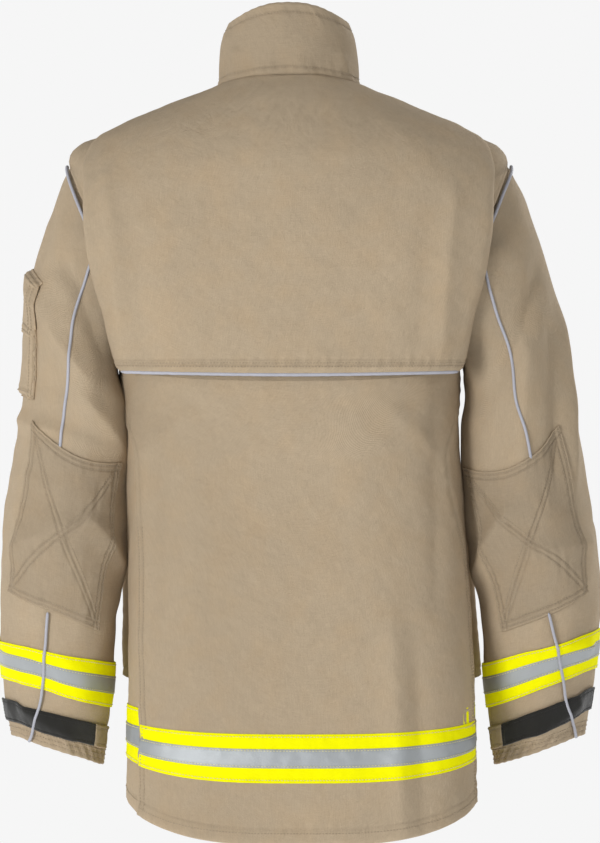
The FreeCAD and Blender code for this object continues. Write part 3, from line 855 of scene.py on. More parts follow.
@dataclass
class Cloth:
    """A closed slab of cloth on a grid, with its stitching.

    The outer face is the grid; the inner face lies a thickness below it.
    """

    name: str
    grid: Array
    thickness: float = SHELL
    closed: bool = False
    flip: bool = False
    stitching: Sequence[Stitching] = ()
    pucker: float = 0.00045
    edge_wear: float = 1.0
    seed: int = 1
    butted: str = ""         # "top" or "bottom": the edge that meets the next piece of the same tube
    across: Array = field(init=False)
    down: Array = field(init=False)
    groove: Array = field(init=False)
    wear: Array = field(init=False)
    paths: list = field(init=False, default_factory=list)

    def __post_init__(self) -> None:
        """Measures the grid, then presses the stitching into it."""
        self.across, self.down = arc_lengths(self.grid, 1), arc_lengths(self.grid, 0)
        self.width, self.length = self.across[:, -1:], self.down[-1:, :]
        self.groove = np.zeros(self.grid.shape[:2])
        sides = [self.down, self.length - self.down]
        if not self.closed:
            sides += [self.across, self.width - self.across]
        nearest = np.minimum.reduce([np.broadcast_to(s, self.groove.shape) for s in sides])
        self.wear = np.exp(-((nearest / 0.0035) ** 2)) * self.edge_wear
        self._press()

    def _distance(self, row: Stitching) -> Array:
        """Distance in metres from every grid point to a row of stitches.

        Args:
            row: row of stitches.

        Returns:
            Distances, of the shape of the grid.
        """
        if row.edge == "top":
            return np.abs(self.down - row.inset)
        if row.edge == "bottom":
            return np.abs(self.length - self.down - row.inset)
        if row.edge == "left":
            return np.abs(self.across - row.inset)
        if row.edge == "right":
            return np.abs(self.width - self.across - row.inset)
        (a0, d0), (a1, d1) = row.line
        wide, long = float(self.width.mean()), float(self.length.mean())
        x = self.across / np.maximum(self.width, SMALL) * wide
        y = self.down / np.maximum(self.length, SMALL) * long
        dx, dy = (a1 - a0) * wide, (d1 - d0) * long
        size = math.hypot(dx, dy)
        off = ((x - a0 * wide) * dy - (y - d0 * long) * dx) / size
        run = ((x - a0 * wide) * dx + (y - d0 * long) * dy) / size ** 2
        return np.hypot(off - row.inset, np.maximum(np.abs(run - 0.5) - 0.5, 0) * size)

    def _press(self) -> None:
        """Sinks the cloth under every row, with small puckers beside it."""
        if not self.stitching:
            return
        sink = np.zeros_like(self.groove)
        random = np.random.default_rng(self.seed)
        for row in self.stitching:
            gap = self._distance(row)
            near = np.exp(-((gap / 0.0013) ** 2))
            # the groove mask near each row drives the materials' painted shade along the stitching
            self.groove = np.maximum(self.groove, near)
            run = self.down if row.edge in ("left", "right") else self.across
            phase = random.uniform(0, math.tau)
            waves = (np.sin(run * math.tau / 0.011 + phase) + 0.7 * np.sin(run * math.tau / 0.0185 + 2 * phase)
                     + 0.5 * np.sin(run * math.tau / 0.031 + 3 * phase))
            sink += -row.groove * near + self.pucker * 0.5 * waves * np.exp(-((gap / 0.009) ** 2))
        normal = grid_normals(self.grid, self.closed, self.flip)
        self.grid = self.grid + normal * sink[..., None]

    def sample(self, across: Array, down: Array) -> tuple[Array, Array]:
        """Points and normals of the outer face at fractional places.

        Args:
            across: 0 to 1 along each line.
            down: 0 to 1 down the lines.

        Returns:
            Points and normals, by weighing the four nearest grid points.
        """
        rows, columns = self.grid.shape[:2]
        c = np.clip(across, 0, 1) * (columns - 1)
        r = np.clip(down, 0, 1) * (rows - 1)
        c0, r0 = np.minimum(c.astype(int), columns - 2), np.minimum(r.astype(int), rows - 2)
        fc, fr = (c - c0)[:, None], (r - r0)[:, None]
        normals = grid_normals(self.grid, self.closed, self.flip)
        blend = lambda g: ((g[r0, c0] * (1 - fc) + g[r0, c0 + 1] * fc) * (1 - fr)
                           + (g[r0 + 1, c0] * (1 - fc) + g[r0 + 1, c0 + 1] * fc) * fr)
        return blend(self.grid), blend(normals)

    def row_path(self, row: Stitching, count: int = 400) -> tuple[Array, Array]:
        """Points and normals along a row of stitches.

        Args:
            row: row of stitches.
            count: number of points.

        Returns:
            Points and normals.
        """
        t = np.linspace(row.trim[0], row.trim[1], count)
        if row.edge == "line":
            (a0, d0), (a1, d1) = row.line
            wide, long = float(self.width.mean()), float(self.length.mean())
            dx, dy = (a1 - a0) * wide, (d1 - d0) * long
            size = math.hypot(dx, dy)
            return self.sample(a0 + (a1 - a0) * t + row.inset * dy / size / wide,
                               d0 + (d1 - d0) * t - row.inset * dx / size / long)
        if row.edge in ("left", "right"):
            share = row.inset / np.interp(t, np.linspace(0, 1, len(self.width)), self.width[:, 0])
            return self.sample(share if row.edge == "left" else 1 - share, t)
        share = row.inset / np.interp(t, np.linspace(0, 1, self.length.shape[1]), self.length[0])
        return self.sample(t, share if row.edge == "top" else 1 - share)

    def build(self) -> bpy.types.Object:
        """Makes the closed mesh with its map and its attributes.

        Returns:
            The object, at the origin.
        """
        outer = self.grid
        normals = grid_normals(outer, self.closed, self.flip)
        inner = outer - normals * self.thickness
        rows, columns = outer.shape[:2]
        index = np.arange(rows * columns).reshape(rows, columns)
        quads, maps = [], []
        uv = np.stack([self.across, self.down], axis=-1)
        if self.closed:
            wrap = np.linalg.norm(outer[:, :1] - outer[:, -1:], axis=-1) + self.across[:, -1:]
            uv = np.concatenate([uv, np.stack([wrap, self.down[:, -1:]], axis=-1)], axis=1)
            index = np.concatenate([index, index[:, :1]], axis=1)
        corners = lambda g: np.stack([g[:-1, :-1], g[:-1, 1:], g[1:, 1:], g[1:, :-1]], axis=2)
        face, face_uv = corners(index), corners(uv)
        order = [0, 3, 2, 1] if self.flip else [0, 1, 2, 3]
        face, face_uv = face[:, :, order].reshape(-1, 4), face_uv[:, :, order].reshape(-1, 4, 2)
        offset = rows * columns
        quads += [face, face[:, ::-1] + offset]
        maps += [face_uv, face_uv[:, ::-1]]
        points = [outer.reshape(-1, 3), inner.reshape(-1, 3)]
        masks = [self.groove.reshape(-1), self.groove.reshape(-1)]
        wears = [self.wear.reshape(-1), self.wear.reshape(-1)]
        base = 2 * offset
        sharp = np.zeros(2 * offset, bool)
        for number, (loop, away) in enumerate(self._borders(index)):
            middle = (outer.reshape(-1, 3)[loop] + inner.reshape(-1, 3)[loop]) / 2
            butt = self.butted == ("top", "bottom")[number] if self.closed else False
            sharp[loop] |= butt
            out = outer.reshape(-1, 3)[loop] - outer.reshape(-1, 3)[away]
            out /= np.linalg.norm(out, axis=-1, keepdims=True) + SMALL
            points.append(middle + out * self.thickness * (0.0 if butt else 0.45))
            masks.append(np.zeros(len(loop)))
            wears.append(np.ones(len(loop)) * self.edge_wear)
            rim = base + np.arange(len(loop))
            ahead, rim_ahead = np.roll(loop, -1), np.roll(rim, -1)
            upper = np.stack([ahead, loop, rim, rim_ahead], axis=1)
            lower = np.stack([rim_ahead, rim, loop + offset, ahead + offset], axis=1)
            if self.flip:
                upper, lower = upper[:, ::-1], lower[:, ::-1]
            quads += [upper, lower]
            flat = uv[:, :columns].reshape(-1, 2)
            spot = np.stack([flat[loop]] * 4, axis=1)
            maps += [spot, spot]
            base += len(loop)
        made = make_mesh(self.name, np.concatenate(points), np.concatenate(quads), np.concatenate(maps),
                         {"groove": np.concatenate(masks), "wear": np.concatenate(wears)})
        if sharp.any():
            mesh = made.data
            ends = np.empty(len(mesh.edges) * 2, np.int32)
            mesh.edges.foreach_get("vertices", ends)
            flags = np.zeros(len(mesh.vertices), bool)
            flags[:len(sharp)] = sharp
            mesh.attributes.new("sharp_edge", "BOOLEAN", "EDGE").data.foreach_set(
                "value", flags[ends.reshape(-1, 2)].all(axis=1))
        return made

    def _borders(self, index: Array) -> Iterable[tuple[Array, Array]]:
        """Border loops of the grid, each with its neighbours just inside it.

        Args:
            index: number of each grid point.

        Returns:
            Loops of numbers, each with the loop inside it.
        """
        if self.closed:
            yield index[0, :-1], index[1, :-1]
            yield index[-1, :-1][::-1], index[-2, :-1][::-1]
            return
        loop = np.concatenate([index[0, :-1], index[:-1, -1], index[-1, :0:-1], index[:0:-1, 0]])
        inside = np.concatenate([index[1, :-1], index[:-1, -2], index[-2, :0:-1], index[:0:-1, 1]])
        yield loop, inside


def make_mesh(name: str, points: Array, quads: Array, maps: Optional[Array] = None,
              attributes: Optional[dict[str, Array]] = None) -> bpy.types.Object:
    """Puts arrays of points and quads into a new smooth object.

    Args:
        name: the object's name.
        points: vertices.
        quads: vertex indices of each face, all with the same count of corners.
        maps: map coordinates of each corner.
        attributes: float values of each vertex.

    Returns:
        The object, linked to the scene.
    """
    mesh = bpy.data.meshes.new(name)
    corners = quads.shape[1]
    mesh.vertices.add(len(points))
    mesh.vertices.foreach_set("co", points.astype(np.float32).ravel())
    mesh.loops.add(quads.size)
    mesh.loops.foreach_set("vertex_index", quads.astype(np.int32).ravel())
    mesh.polygons.add(len(quads))
    mesh.polygons.foreach_set("loop_start", np.arange(0, quads.size, corners, dtype=np.int32))
    mesh.polygons.foreach_set("loop_total", np.full(len(quads), corners, np.int32))
    mesh.update(calc_edges=True)
    mesh.shade_smooth()
    if maps is not None:
        layer = mesh.uv_layers.new(name="cloth")
        layer.data.foreach_set("uv", maps.astype(np.float32).ravel())
    for key, values in (attributes or {}).items():
        mesh.attributes.new(key, "FLOAT", "POINT").data.foreach_set("value", values.astype(np.float32))
    mesh.validate()
    made = bpy.data.objects.new(name, mesh)
    bpy.context.scene.collection.objects.link(made)
    return made


def tube(name: str, path: Array, normal: Array, radius: float, sides: int = 10,
         taper: int = 2) -> bpy.types.Object:
    """Round cord along a path, closed at both ends.

    Args:
        name: the object's name.
        path: points in order.
        normal: a direction across the path at each point.
        radius: the cord's radius.
        sides: corners of its section.
        taper: points over which each end closes.

    Returns:
        The object. Each section is path + radius (cos a normal + sin a side).
    """
    tangent = np.gradient(path, axis=0)
    tangent /= np.linalg.norm(tangent, axis=-1, keepdims=True) + SMALL
    side = np.cross(tangent, normal)
    side /= np.linalg.norm(side, axis=-1, keepdims=True) + SMALL
    up = np.cross(side, tangent)
    size = np.full(len(path), radius)
    fade = np.sqrt(1 - np.linspace(0.96, 0, taper + 1)[:-1] ** 2)
    size[:taper] *= fade
    size[-taper:] *= fade[::-1]
    a = np.linspace(0, math.tau, sides, endpoint=False)
    rings = path[:, None] + size[:, None, None] * (np.cos(a)[None, :, None] * up[:, None]
                                                   + np.sin(a)[None, :, None] * side[:, None])
    points = np.concatenate([rings.reshape(-1, 3), path[:1], path[-1:]])
    index = np.arange(len(path) * sides).reshape(len(path), sides)
    ahead = np.roll(index, -1, axis=1)
    quads = np.stack([index[:-1], index[1:], ahead[1:], ahead[:-1]], axis=-1).reshape(-1, 4)
    first, last = len(path) * sides, len(path) * sides + 1
    caps = [np.stack([index[0], ahead[0], np.full(sides, first), np.full(sides, first)], axis=-1),
            np.stack([ahead[-1], index[-1], np.full(sides, last), np.full(sides, last)], axis=-1)]
    made = mixed_mesh(name, points, [quads], [c[:, :3] for c in caps])
    return made


def mixed_mesh(name: str, points: Array, quads: Sequence[Array], triangles: Sequence[Array]) -> bpy.types.Object:
    """Smooth object of quads and triangles.

    Args:
        name: the object's name.
        points: points of the mesh.
        quads: groups of four-sided faces.
        triangles: groups of three-sided faces.

    Returns:
        The object.
    """
    mesh = bpy.data.meshes.new(name)
    faces = [f.tolist() for group in (*quads, *triangles) for f in group]
    mesh.from_pydata(points.tolist(), [], faces)
    mesh.shade_smooth()
    made = bpy.data.objects.new(name, mesh)
    bpy.context.scene.collection.objects.link(made)
    return made


def stitches(name: str, paths: Sequence[tuple[Array, Array]], pitch: float = STITCH_PITCH,
             length: float = STITCH_LENGTH, radius: float = STITCH_RADIUS) -> bpy.types.Object:
    """Separate stitches along paths on a cloth, each a low arch of thread that dips in at its ends.

    Args:
        name: the object's name.
        paths: points and normals of each row.
        pitch: distance from one stitch to the next.
        length: length of a stitch.
        radius: radius of the thread.

    Returns:
        One object with every stitch.
    """
    centres, ways, ups = [], [], []
    for points, normals in paths:
        run = np.concatenate([[0], np.linalg.norm(np.diff(points, axis=0), axis=1).cumsum()])
        at = np.arange(pitch, run[-1] - pitch, pitch)
        read = lambda data, where: np.stack([np.interp(where, run, data[:, k]) for k in range(3)], axis=-1)
        centres.append(read(points, at))
        ways.append(read(points, at + pitch * 0.4) - read(points, at - pitch * 0.4))
        ups.append(read(normals, at))
    centre, way, up = (np.concatenate(x) for x in (centres, ways, ups))
    way /= np.linalg.norm(way, axis=-1, keepdims=True) + SMALL
    up /= np.linalg.norm(up, axis=-1, keepdims=True) + SMALL
    side = np.cross(way, up)
    stations = np.array([-0.5, -0.25, 0.25, 0.5]) * length
    height = np.array([-0.7, 0.75, 0.75, -0.7]) * radius
    size = np.array([0.45, 1.0, 1.0, 0.45]) * radius
    a = np.linspace(0, math.tau, 5, endpoint=False)
    ring_up = height[:, None] + size[:, None] * np.cos(a)
    ring_side = size[:, None] * np.sin(a)
    points = (centre[:, None, None] + way[:, None, None] * stations[:, None, None]
              + up[:, None, None] * ring_up[..., None] + side[:, None, None] * ring_side[..., None])
    index = np.arange(20).reshape(4, 5)
    ahead = np.roll(index, -1, axis=1)
    template = np.stack([index[:-1], ahead[:-1], ahead[1:], index[1:]], axis=-1).reshape(-1, 4)
    quads = (template[None] + np.arange(len(centre))[:, None, None] * 20).reshape(-1, 4)
    caps = np.stack([np.arange(5)[::-1], np.arange(15, 20)])
    caps = (caps[None] + np.arange(len(centre))[:, None, None] * 20).reshape(-1, 5)
    return mixed_mesh(name, points.reshape(-1, 3), [quads], [caps])


@dataclass(frozen=True)
class Carrier:
    """What a piece moves with: one body; two bodies and the stretch between them are kept but do not move it."""

    body: str
    second: str = ""
    start: tuple[float, float, float] = (0, 0, 0)
    end: tuple[float, float, float] = (0, 0, 0)

    def take(self, piece: bpy.types.Object) -> None:
        """Fixes the piece to its body; with two bodies it only bakes the piece's placement into its mesh.

        Args:
            piece: the object.
        """
        if self.second:
            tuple(self.start)
            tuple(self.end)
            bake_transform(piece)
        else:
            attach(piece, self.body)


@dataclass
class Workshop:
    """Finishes pieces: material, carrier and the frame nodes that they stand for."""

    finishes: Finishes
    count: int = 0

    def finish(self, piece: bpy.types.Object, material: bpy.types.Material, carrier: Carrier,
               replaces: Sequence[str] = ()) -> bpy.types.Object:
        """Dresses one piece.

        Args:
            piece: the object.
            material: its finish.
            carrier: what it moves with.
            replaces: frame nodes that it stands for.

        Returns:
            The same object.
        """
        piece.data.materials.append(material)
        carrier.take(piece)
        if replaces:
            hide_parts(*replaces)
        self.count += 1
        log.info("%s: %d faces", piece.name, len(piece.data.polygons))
        return piece

    def cloth(self, cloth: Cloth, material: bpy.types.Material, slot: str, carrier: Carrier,
              replaces: Sequence[str] = (), thread: Optional[bpy.types.Material] = None,
              sheet: bool = True) -> bpy.types.Object:
        """Builds a cloth, dresses it and sews its stitches.

        Args:
            cloth: the cloth.
            material: its finish.
            slot: not used.
            carrier: what it moves with.
            replaces: frame nodes that it stands for.
            thread: finish of its stitches.

        Returns:
            The dressed object.
        """
        piece = cloth.build()
        area = round(float(cloth.width.mean() * cloth.length.mean()), 4) if sheet else None
        self.finish(piece, material, carrier, replaces)
        if cloth.stitching:
            rows = stitches(cloth.name + "_stitches", [cloth.row_path(row) for row in cloth.stitching])
            self.finish(rows, thread or self.finishes.thread, carrier)
        return piece


# ---------------------------------------------------------------- the coat's pieces
def grid_of(surface: Callable, spans: Callable[[Array], tuple[Array, Array]], rows: Array, columns: int,
            lift: Union[float, Array] = 0.0) -> Array:
    """Grid of a surface between two edges.

    Args:
        surface: function of u, v and lift.
        spans: gives the first and last u of each row.
        rows: values of v.
        columns: points across.
        lift: height above the surface.

    Returns:
        Points by row and column.
    """
    first, last = spans(rows)
    share = np.linspace(0, 1, columns)[None, :]
    u = np.asarray(first)[:, None] * (1 - share) + np.asarray(last)[:, None] * share
    return surface(u, np.broadcast_to(rows[:, None], u.shape), lift)


def between(first: float, last: float) -> Callable[[Array], tuple[Array, Array]]:
    """Span with straight edges."""
    return lambda rows: (np.full_like(rows, first), np.full_like(rows, last))


BACK_DRAPE: Drape = (
    Ripple(3, 0.0012, 0.17, stretch=1.6), Ripple(8, 0.0004, 0.045, stretch=1.4), Ripple(4, 0.00022, 0.018),
    Fold((-0.094, -0.56), (-0.104, -0.80), 0.014, 0.0036), Fold((-0.119, -0.60), (-0.128, -0.80), 0.012, -0.0026),
    Fold((0.095, -0.34), (0.118, -0.66), 0.030, 0.0012), Fold((-0.06, -0.33), (-0.085, -0.60), 0.032, 0.0011),
    Fold((0.02, -0.40), (0.035, -0.78), 0.036, 0.0009), Fold((0.140, -0.34), (0.153, -0.60), 0.010, -0.0016),
    Fold((-0.152, -0.33), (-0.142, -0.56), 0.010, -0.0018), Fold((0.10, -0.35), (0.16, -0.40), 0.010, 0.0013),
    Fold((-0.10, -0.345), (-0.155, -0.40), 0.010, 0.0014),
)


def place_torso(angle: Array, drop: Array, point: Array) -> tuple[Array, Array]:
    """Folds of the torso by x on the back and by x plus a shift on the front, and z."""
    rear = point[..., 1] > MID_Y
    return np.where(rear, point[..., 0], point[..., 0] + 1.0), point[..., 2]


torso_cloth = draped(torso, BACK_DRAPE, place_torso, False, (0.2, 0.0005))


@dataclass
class BackPanel:
    """Lower back and the plain back under the overlay, with the raised edge of the side vents."""

    columns: int = 150
    rows: int = 250
    lift: float = 0.0030

    def edge(self, drop: Array) -> Array:
        """Angle of the panel's side edge: it steps in below the waist, where the side vent is."""
        ease = np.clip((drop - 0.600) / 0.10, 0, 1)
        return armhole_angle(drop, False) - 0.8 - 2.2 * ease * ease * (3 - 2 * ease)

    def right_edge(self, drop: Array) -> Array:
        """The same on the right, where the panel laps 9 degrees further round below the waist."""
        ease = np.clip((drop - 0.42) / 0.12, 0, 1)
        return armhole_angle(drop, False) - 0.8 + 9.0 * ease * ease * (3 - 2 * ease)

    def build(self, shop: Workshop) -> None:
        """Makes the panel and its hem stitching.

        Args:
            shop: finishes the pieces.
        """
        drops = np.concatenate([np.linspace(0.004, 0.29, 45)[:-1], np.linspace(0.29, BACK_LENGTH, self.rows)])
        spans = lambda rows: (-self.right_edge(rows), self.edge(rows))
        under = np.clip((0.33 - drops) / 0.03, 0, 1)[:, None]
        share = np.linspace(-1, 1, self.columns)[None, :]
        tuck = 0.0012 * np.clip((np.abs(share) - 0.90) / 0.10, 0, 1)
        grid = grid_of(torso_cloth, spans, drops, self.columns, self.lift - under * 0.0022 + tuck)
        rows = [Stitching("bottom", 0.0155), Stitching("left", 0.004, trim=(0.46, 0.99)),
                Stitching("right", 0.004, trim=(0.46, 0.99)), Stitching("left", 0.0095, trim=(0.46, 0.99)),
                Stitching("right", 0.0095, trim=(0.46, 0.99))]
        panel = Cloth("back_shell", grid, stitching=rows, seed=11)
        shop.cloth(panel, shop.finishes.shell, "shell_cloth", Carrier("torso"), ["back_panel"])


@dataclass
class Overlay:
    """Action-back overlay: from the collar and shoulders to a piped foot, free at both sides."""

    columns: int = 170
    rows: int = 150
    top: float = 0.0
    foot: float = 0.3135
    lift: float = 0.0062

    def spread(self, share: Array, drop: Array) -> Array:
        """Plain overlay: hugs the shoulders at the top and stands off the armholes lower down.

        Its side edges run from behind the shoulders, 214 mm out, in a slow curve to 180 mm at the
        foot. The back's ring widens by up to 30 mm so that the sheet flattens towards its edges.

        Args:
            share: -1 to 1 across the overlay.
            drop: drops below the nape, in metres.

        Returns:
            Points of the surface.
        """
        row = through_rows(TORSO_TABLE, drop)
        z_back, half, back, _, z_side, _, square = np.moveaxis(row, -1, 0)
        ease = np.clip((drop - 0.075) / 0.05, 0, 1)
        ease = ease * ease * (3 - 2 * ease)
        fall = np.clip((drop - 0.140) / (self.foot - 0.140), 0, 1)
        free = 0.2145 - 0.0345 * fall ** 1.15 + 0.004 * np.sin(np.pi * np.clip(fall * 1.5, 0, 1))
        reach = half * 0.985 * (1 - ease) + free * ease
        x = share * reach
        wide = half + 0.030 * ease
        lean = np.clip(np.abs(x / wide), 0, 0.999)
        y = (back + 0.003) * (1 - lean ** square) ** (1 / square)
        plain = z_side + (z_back - z_side) * np.clip(y / back, 0, 1) ** 2
        spread = z_back + (z_side - z_back) * 0.30 * lean ** 2
        return np.stack([x, MID_Y + y, plain * (1 - ease) + spread * ease], axis=-1)

    def build(self, shop: Workshop) -> None:
        """Makes the overlay, its double foot stitching and its piping.

        Args:
            shop: finishes the pieces.
        """
        drape: Drape = (
            Ripple(5, 0.0013, 0.16, stretch=1.3), Ripple(9, 0.0004, 0.045), Ripple(7, 0.00022, 0.018),
            Fold((0.190, -0.10), (0.170, -0.30), 0.010, 0.0026),
            Fold((-0.172, -0.12), (-0.155, -0.30), 0.010, 0.0026),
            Fold((0.160, -0.16), (0.148, -0.30), 0.014, -0.0014),
            Fold((-0.145, -0.15), (-0.134, -0.29), 0.014, -0.0014),
            Fold((0.10, -0.045), (0.19, -0.14), 0.018, 0.0013),
            Fold((-0.10, -0.045), (-0.18, -0.14), 0.018, 0.0013),
        )
        surface = draped(self.spread, drape, front_view, False, (0.01, 0.0005))
        drops = np.concatenate([np.linspace(0.002, 0.14, 50)[:-1], np.linspace(0.14, self.foot, self.rows - 50)])
        share = np.linspace(-1, 1, self.columns)
        foot = np.clip((drops - self.foot + 0.006) / 0.006, 0, 1)[:, None]
        curl = 0.0035 * np.clip((np.abs(share) - 0.955) / 0.045, 0, 1)[None, :] ** 2
        rounding = np.clip((drops - self.foot + 0.010) / 0.010, 0, 1)
        spans = lambda rows: (-1 + 0.022 * rounding ** 3, 1 - 0.022 * rounding ** 3)
        lift = self.lift - foot * 0.0008 - curl * np.clip((drops[:, None] - 0.09) / 0.05, 0, 1)
        grid = grid_of(surface, spans, drops, self.columns, lift)
        rows = [Stitching("bottom", 0.0095), Stitching("bottom", 0.0145)]
        cape = Cloth("back_cape", grid, stitching=rows, thickness=0.0026, seed=21)
        shop.cloth(cape, shop.finishes.shell, "shell_cloth", Carrier("torso"), ["back_overlay"])
        edge, away = cape.grid[-1], cape.grid[-3]
        along = edge + (edge - away) / (np.linalg.norm(edge - away, axis=-1, keepdims=True) + SMALL) * 0.0010
        normal = grid_normals(cape.grid, False, False)[-1]
        cord = tube("cape_piping", along - normal * 0.0008, normal, 0.0019)
        shop.finish(cord, shop.finishes.piping, Carrier("torso"), ["overlay_piping"])


@dataclass
class Trim:
    """Fluorescent tape with a silver band, sewn on a cloth between two spans."""

    name: str
    surface: Callable
    spans: Callable[[Array], tuple[Array, Array]]
    start: float
    end: float
    lift: float
    closed: bool = False
    flip: bool = False
    columns: int = 200
    rows: int = 26

    def build(self, shop: Workshop, carrier: Carrier, yellow_nodes: Sequence[str],
              silver_nodes: Sequence[str]) -> None:
        """Makes both bands.

        Args:
            shop: finishes the pieces.
            carrier: what it moves with.
            yellow_nodes: frame nodes of the tape.
            silver_nodes: frame nodes of the band.
        """
        v = np.linspace(self.start, self.end, self.rows)
        tape = Cloth(self.name + "_yellow", self._grid(v, self.lift), 0.0008, self.closed, self.flip,
                     [Stitching("top", 0.0026, groove=0.0003), Stitching("bottom", 0.0026, groove=0.0003)],
                     pucker=0.0002, edge_wear=0.3)
        shop.cloth(tape, shop.finishes.yellow, "fluorescent_tape", carrier, yellow_nodes,
                   shop.finishes.pale_thread, sheet=False)
        margin = (self.end - self.start) * (1 - SILVER_HEIGHT / TAPE_HEIGHT) / 2
        w = np.linspace(self.start + margin, self.end - margin, 14)
        band = Cloth(self.name + "_silver", self._grid(w, self.lift + 0.0006), 0.0005, self.closed, self.flip,
                     [Stitching("top", 0.0016, groove=0.0002), Stitching("bottom", 0.0016, groove=0.0002)],
                     pucker=0.0001, edge_wear=0.3)
        shop.cloth(band, shop.finishes.silver, "silver_tape", carrier, silver_nodes,
                   shop.finishes.pale_thread, sheet=False)

    def _grid(self, v: Array, lift: float) -> Array:
        """Grid of one band at a lift.

        Args:
            v: second parameter.
            lift: height above the surface, in metres.

        Returns:
            The points.
        """
        if not self.closed:
            return grid_of(self.surface, self.spans, v, self.columns, lift)
        turns = np.linspace(0, 360, self.columns, endpoint=False)[None, :] + 180.0
        return self.surface(turns, np.broadcast_to(v[:, None], (len(v), self.columns)), lift)


@dataclass
class Collar:
    """Padded stand-up collar: a back and two wings, each folded over at its top edge."""

    split: float = 138.0
    height: float = 0.079
    thickness: float = 0.0062

    def build(self, shop: Workshop) -> None:
        """Makes the three parts, the neck seam's roll and the stitching.

        Args:
            shop: finishes the pieces.
        """
        drape: Drape = (Ripple(31, 0.0007, 0.05), Fold((0.060, -0.002), (0.052, 0.030), 0.006, 0.0022),
                        Fold((-0.062, -0.004), (-0.050, 0.028), 0.006, 0.0020),
                        Fold((-0.02, 0.002), (-0.005, 0.022), 0.008, 0.0010),
                        Fold((0.03, 0.0), (0.018, 0.026), 0.008, 0.0010))
        surface = draped(collar_surface, drape, front_view, True, (0.2, 0.0005))
        rises = np.linspace(0.0, self.height, 44)
        roll = 0.0022 * np.exp(-(((rises - 0.004) / 0.005) ** 2))[:, None]
        lift = 0.0030 + roll + 0.0012 * np.sin(np.pi * rises / self.height)[:, None]
        rows = [Stitching("bottom", 0.0085), Stitching("top", 0.010, groove=0.0004)]
        back = Cloth("collar_back_shell", grid_of(surface, between(-self.split, self.split), rises, 190, lift),
                     self.thickness, flip=True, stitching=rows, seed=41)
        shop.cloth(back, shop.finishes.collar, "collar_cloth", Carrier("torso"), ["collar_back"])
        for side in Side:
            ends = between(self.split + 0.3, 176.5) if side is Side.LEFT else between(-176.5, -self.split - 0.3)
            wing = Cloth(f"{side.word}_collar_wing_shell", grid_of(surface, ends, rises, 50, lift),
                         self.thickness, flip=True, stitching=rows, seed=42 + side.value)
            shop.cloth(wing, shop.finishes.collar, "collar_cloth", front_carrier(side),
                       [f"{side.word}_collar_wing"])


def front_carrier(side: Side) -> Carrier:
    """Carrier naming the torso, a front and a short run across the front's fold line.

    Args:
        side: side of the coat.

    Returns:
        The carrier.
    """
    middle = ((FOLD_TOP[0] + FOLD_FOOT[0]) / 2 * side.value, MID_Y - 0.1085, (FOLD_TOP[1] + FOLD_FOOT[1]) / 2)
    run = np.array([-0.9974 * side.value, 0.0, -0.0721]) * 0.013
    start, end = np.array(middle) - run, np.array(middle) + run
    return Carrier("torso", f"{side.word}_front", tuple(start), tuple(end))


SLEEVE_FOLDS_LEFT: Drape = (
    Ripple(51, 0.0016, 0.085, stretch=1.4), Ripple(52, 0.0006, 0.035),
    Fold((0.075, -0.160), (0.150, -0.245), 0.012, 0.0065), Fold((0.055, -0.185), (0.130, -0.285), 0.010, -0.0045),
    Fold((0.020, -0.215), (0.115, -0.320), 0.013, 0.0050), Fold((0.10, -0.33), (0.17, -0.40), 0.012, 0.0040),
    Fold((0.00, -0.36), (0.09, -0.375), 0.010, 0.0035), Fold((0.03, -0.50), (0.12, -0.47), 0.016, 0.0045),
    Fold((0.12, -0.46), (0.19, -0.52), 0.013, 0.0055), Fold((0.02, -0.59), (0.13, -0.62), 0.010, 0.0035),
    Fold((0.05, -0.660), (0.13, -0.700), 0.012, 0.0035), Fold((-0.02, -0.30), (-0.02, -0.56), 0.012, 0.0030),
    Fold((0.19, -0.34), (0.20, -0.56), 0.014, 0.0045), Fold((-0.10, -0.42), (-0.05, -0.50), 0.013, 0.0050),
    Fold((-0.13, -0.48), (-0.05, -0.47), 0.010, -0.0035),
)
SLEEVE_FOLDS_RIGHT: Drape = (
    Ripple(61, 0.0017, 0.090, stretch=1.5), Ripple(62, 0.0006, 0.035),
    Fold((0.060, -0.170), (0.140, -0.270), 0.013, 0.0060), Fold((0.035, -0.20), (0.125, -0.320), 0.011, -0.0040),
    Fold((0.010, -0.235), (0.050, -0.440), 0.012, 0.0055), Fold((0.045, -0.26), (0.075, -0.44), 0.010, -0.0035),
    Fold((0.085, -0.27), (0.110, -0.42), 0.014, 0.0045), Fold((0.02, -0.49), (0.12, -0.50), 0.015, 0.0040),
    Fold((0.12, -0.45), (0.19, -0.53), 0.013, 0.0055), Fold((0.03, -0.60), (0.12, -0.60), 0.010, 0.0032),
    Fold((0.04, -0.655), (0.12, -0.700), 0.012, 0.0040), Fold((0.19, -0.33), (0.20, -0.55), 0.014, 0.0045),
    Fold((-0.09, -0.43), (-0.04, -0.50), 0.013, 0.0050), Fold((-0.02, -0.46), (-0.01, -0.58), 0.012, 0.0035),
)


@dataclass(frozen=True)
class SleeveCut:
    """Where the sewn-on pieces of a sleeve lie, as turns and positions along it.

    The patch's side edges run from a turn at the top to one at the foot; its top and foot edges are
    start + slope t + arch sin(pi t), with t from its outer to its inner edge. A cuff's trim and strap
    ride up by tilt (cos turn + 0.87).
    """

    patch_outer: tuple[float, float]
    patch_inner: tuple[float, float]
    patch_top: tuple[float, float, float]
    patch_foot: tuple[float, float, float]
    rear_piping: tuple[tuple[float, float], ...]
    lower_piping: tuple[tuple[float, float], ...]
    tilt: float


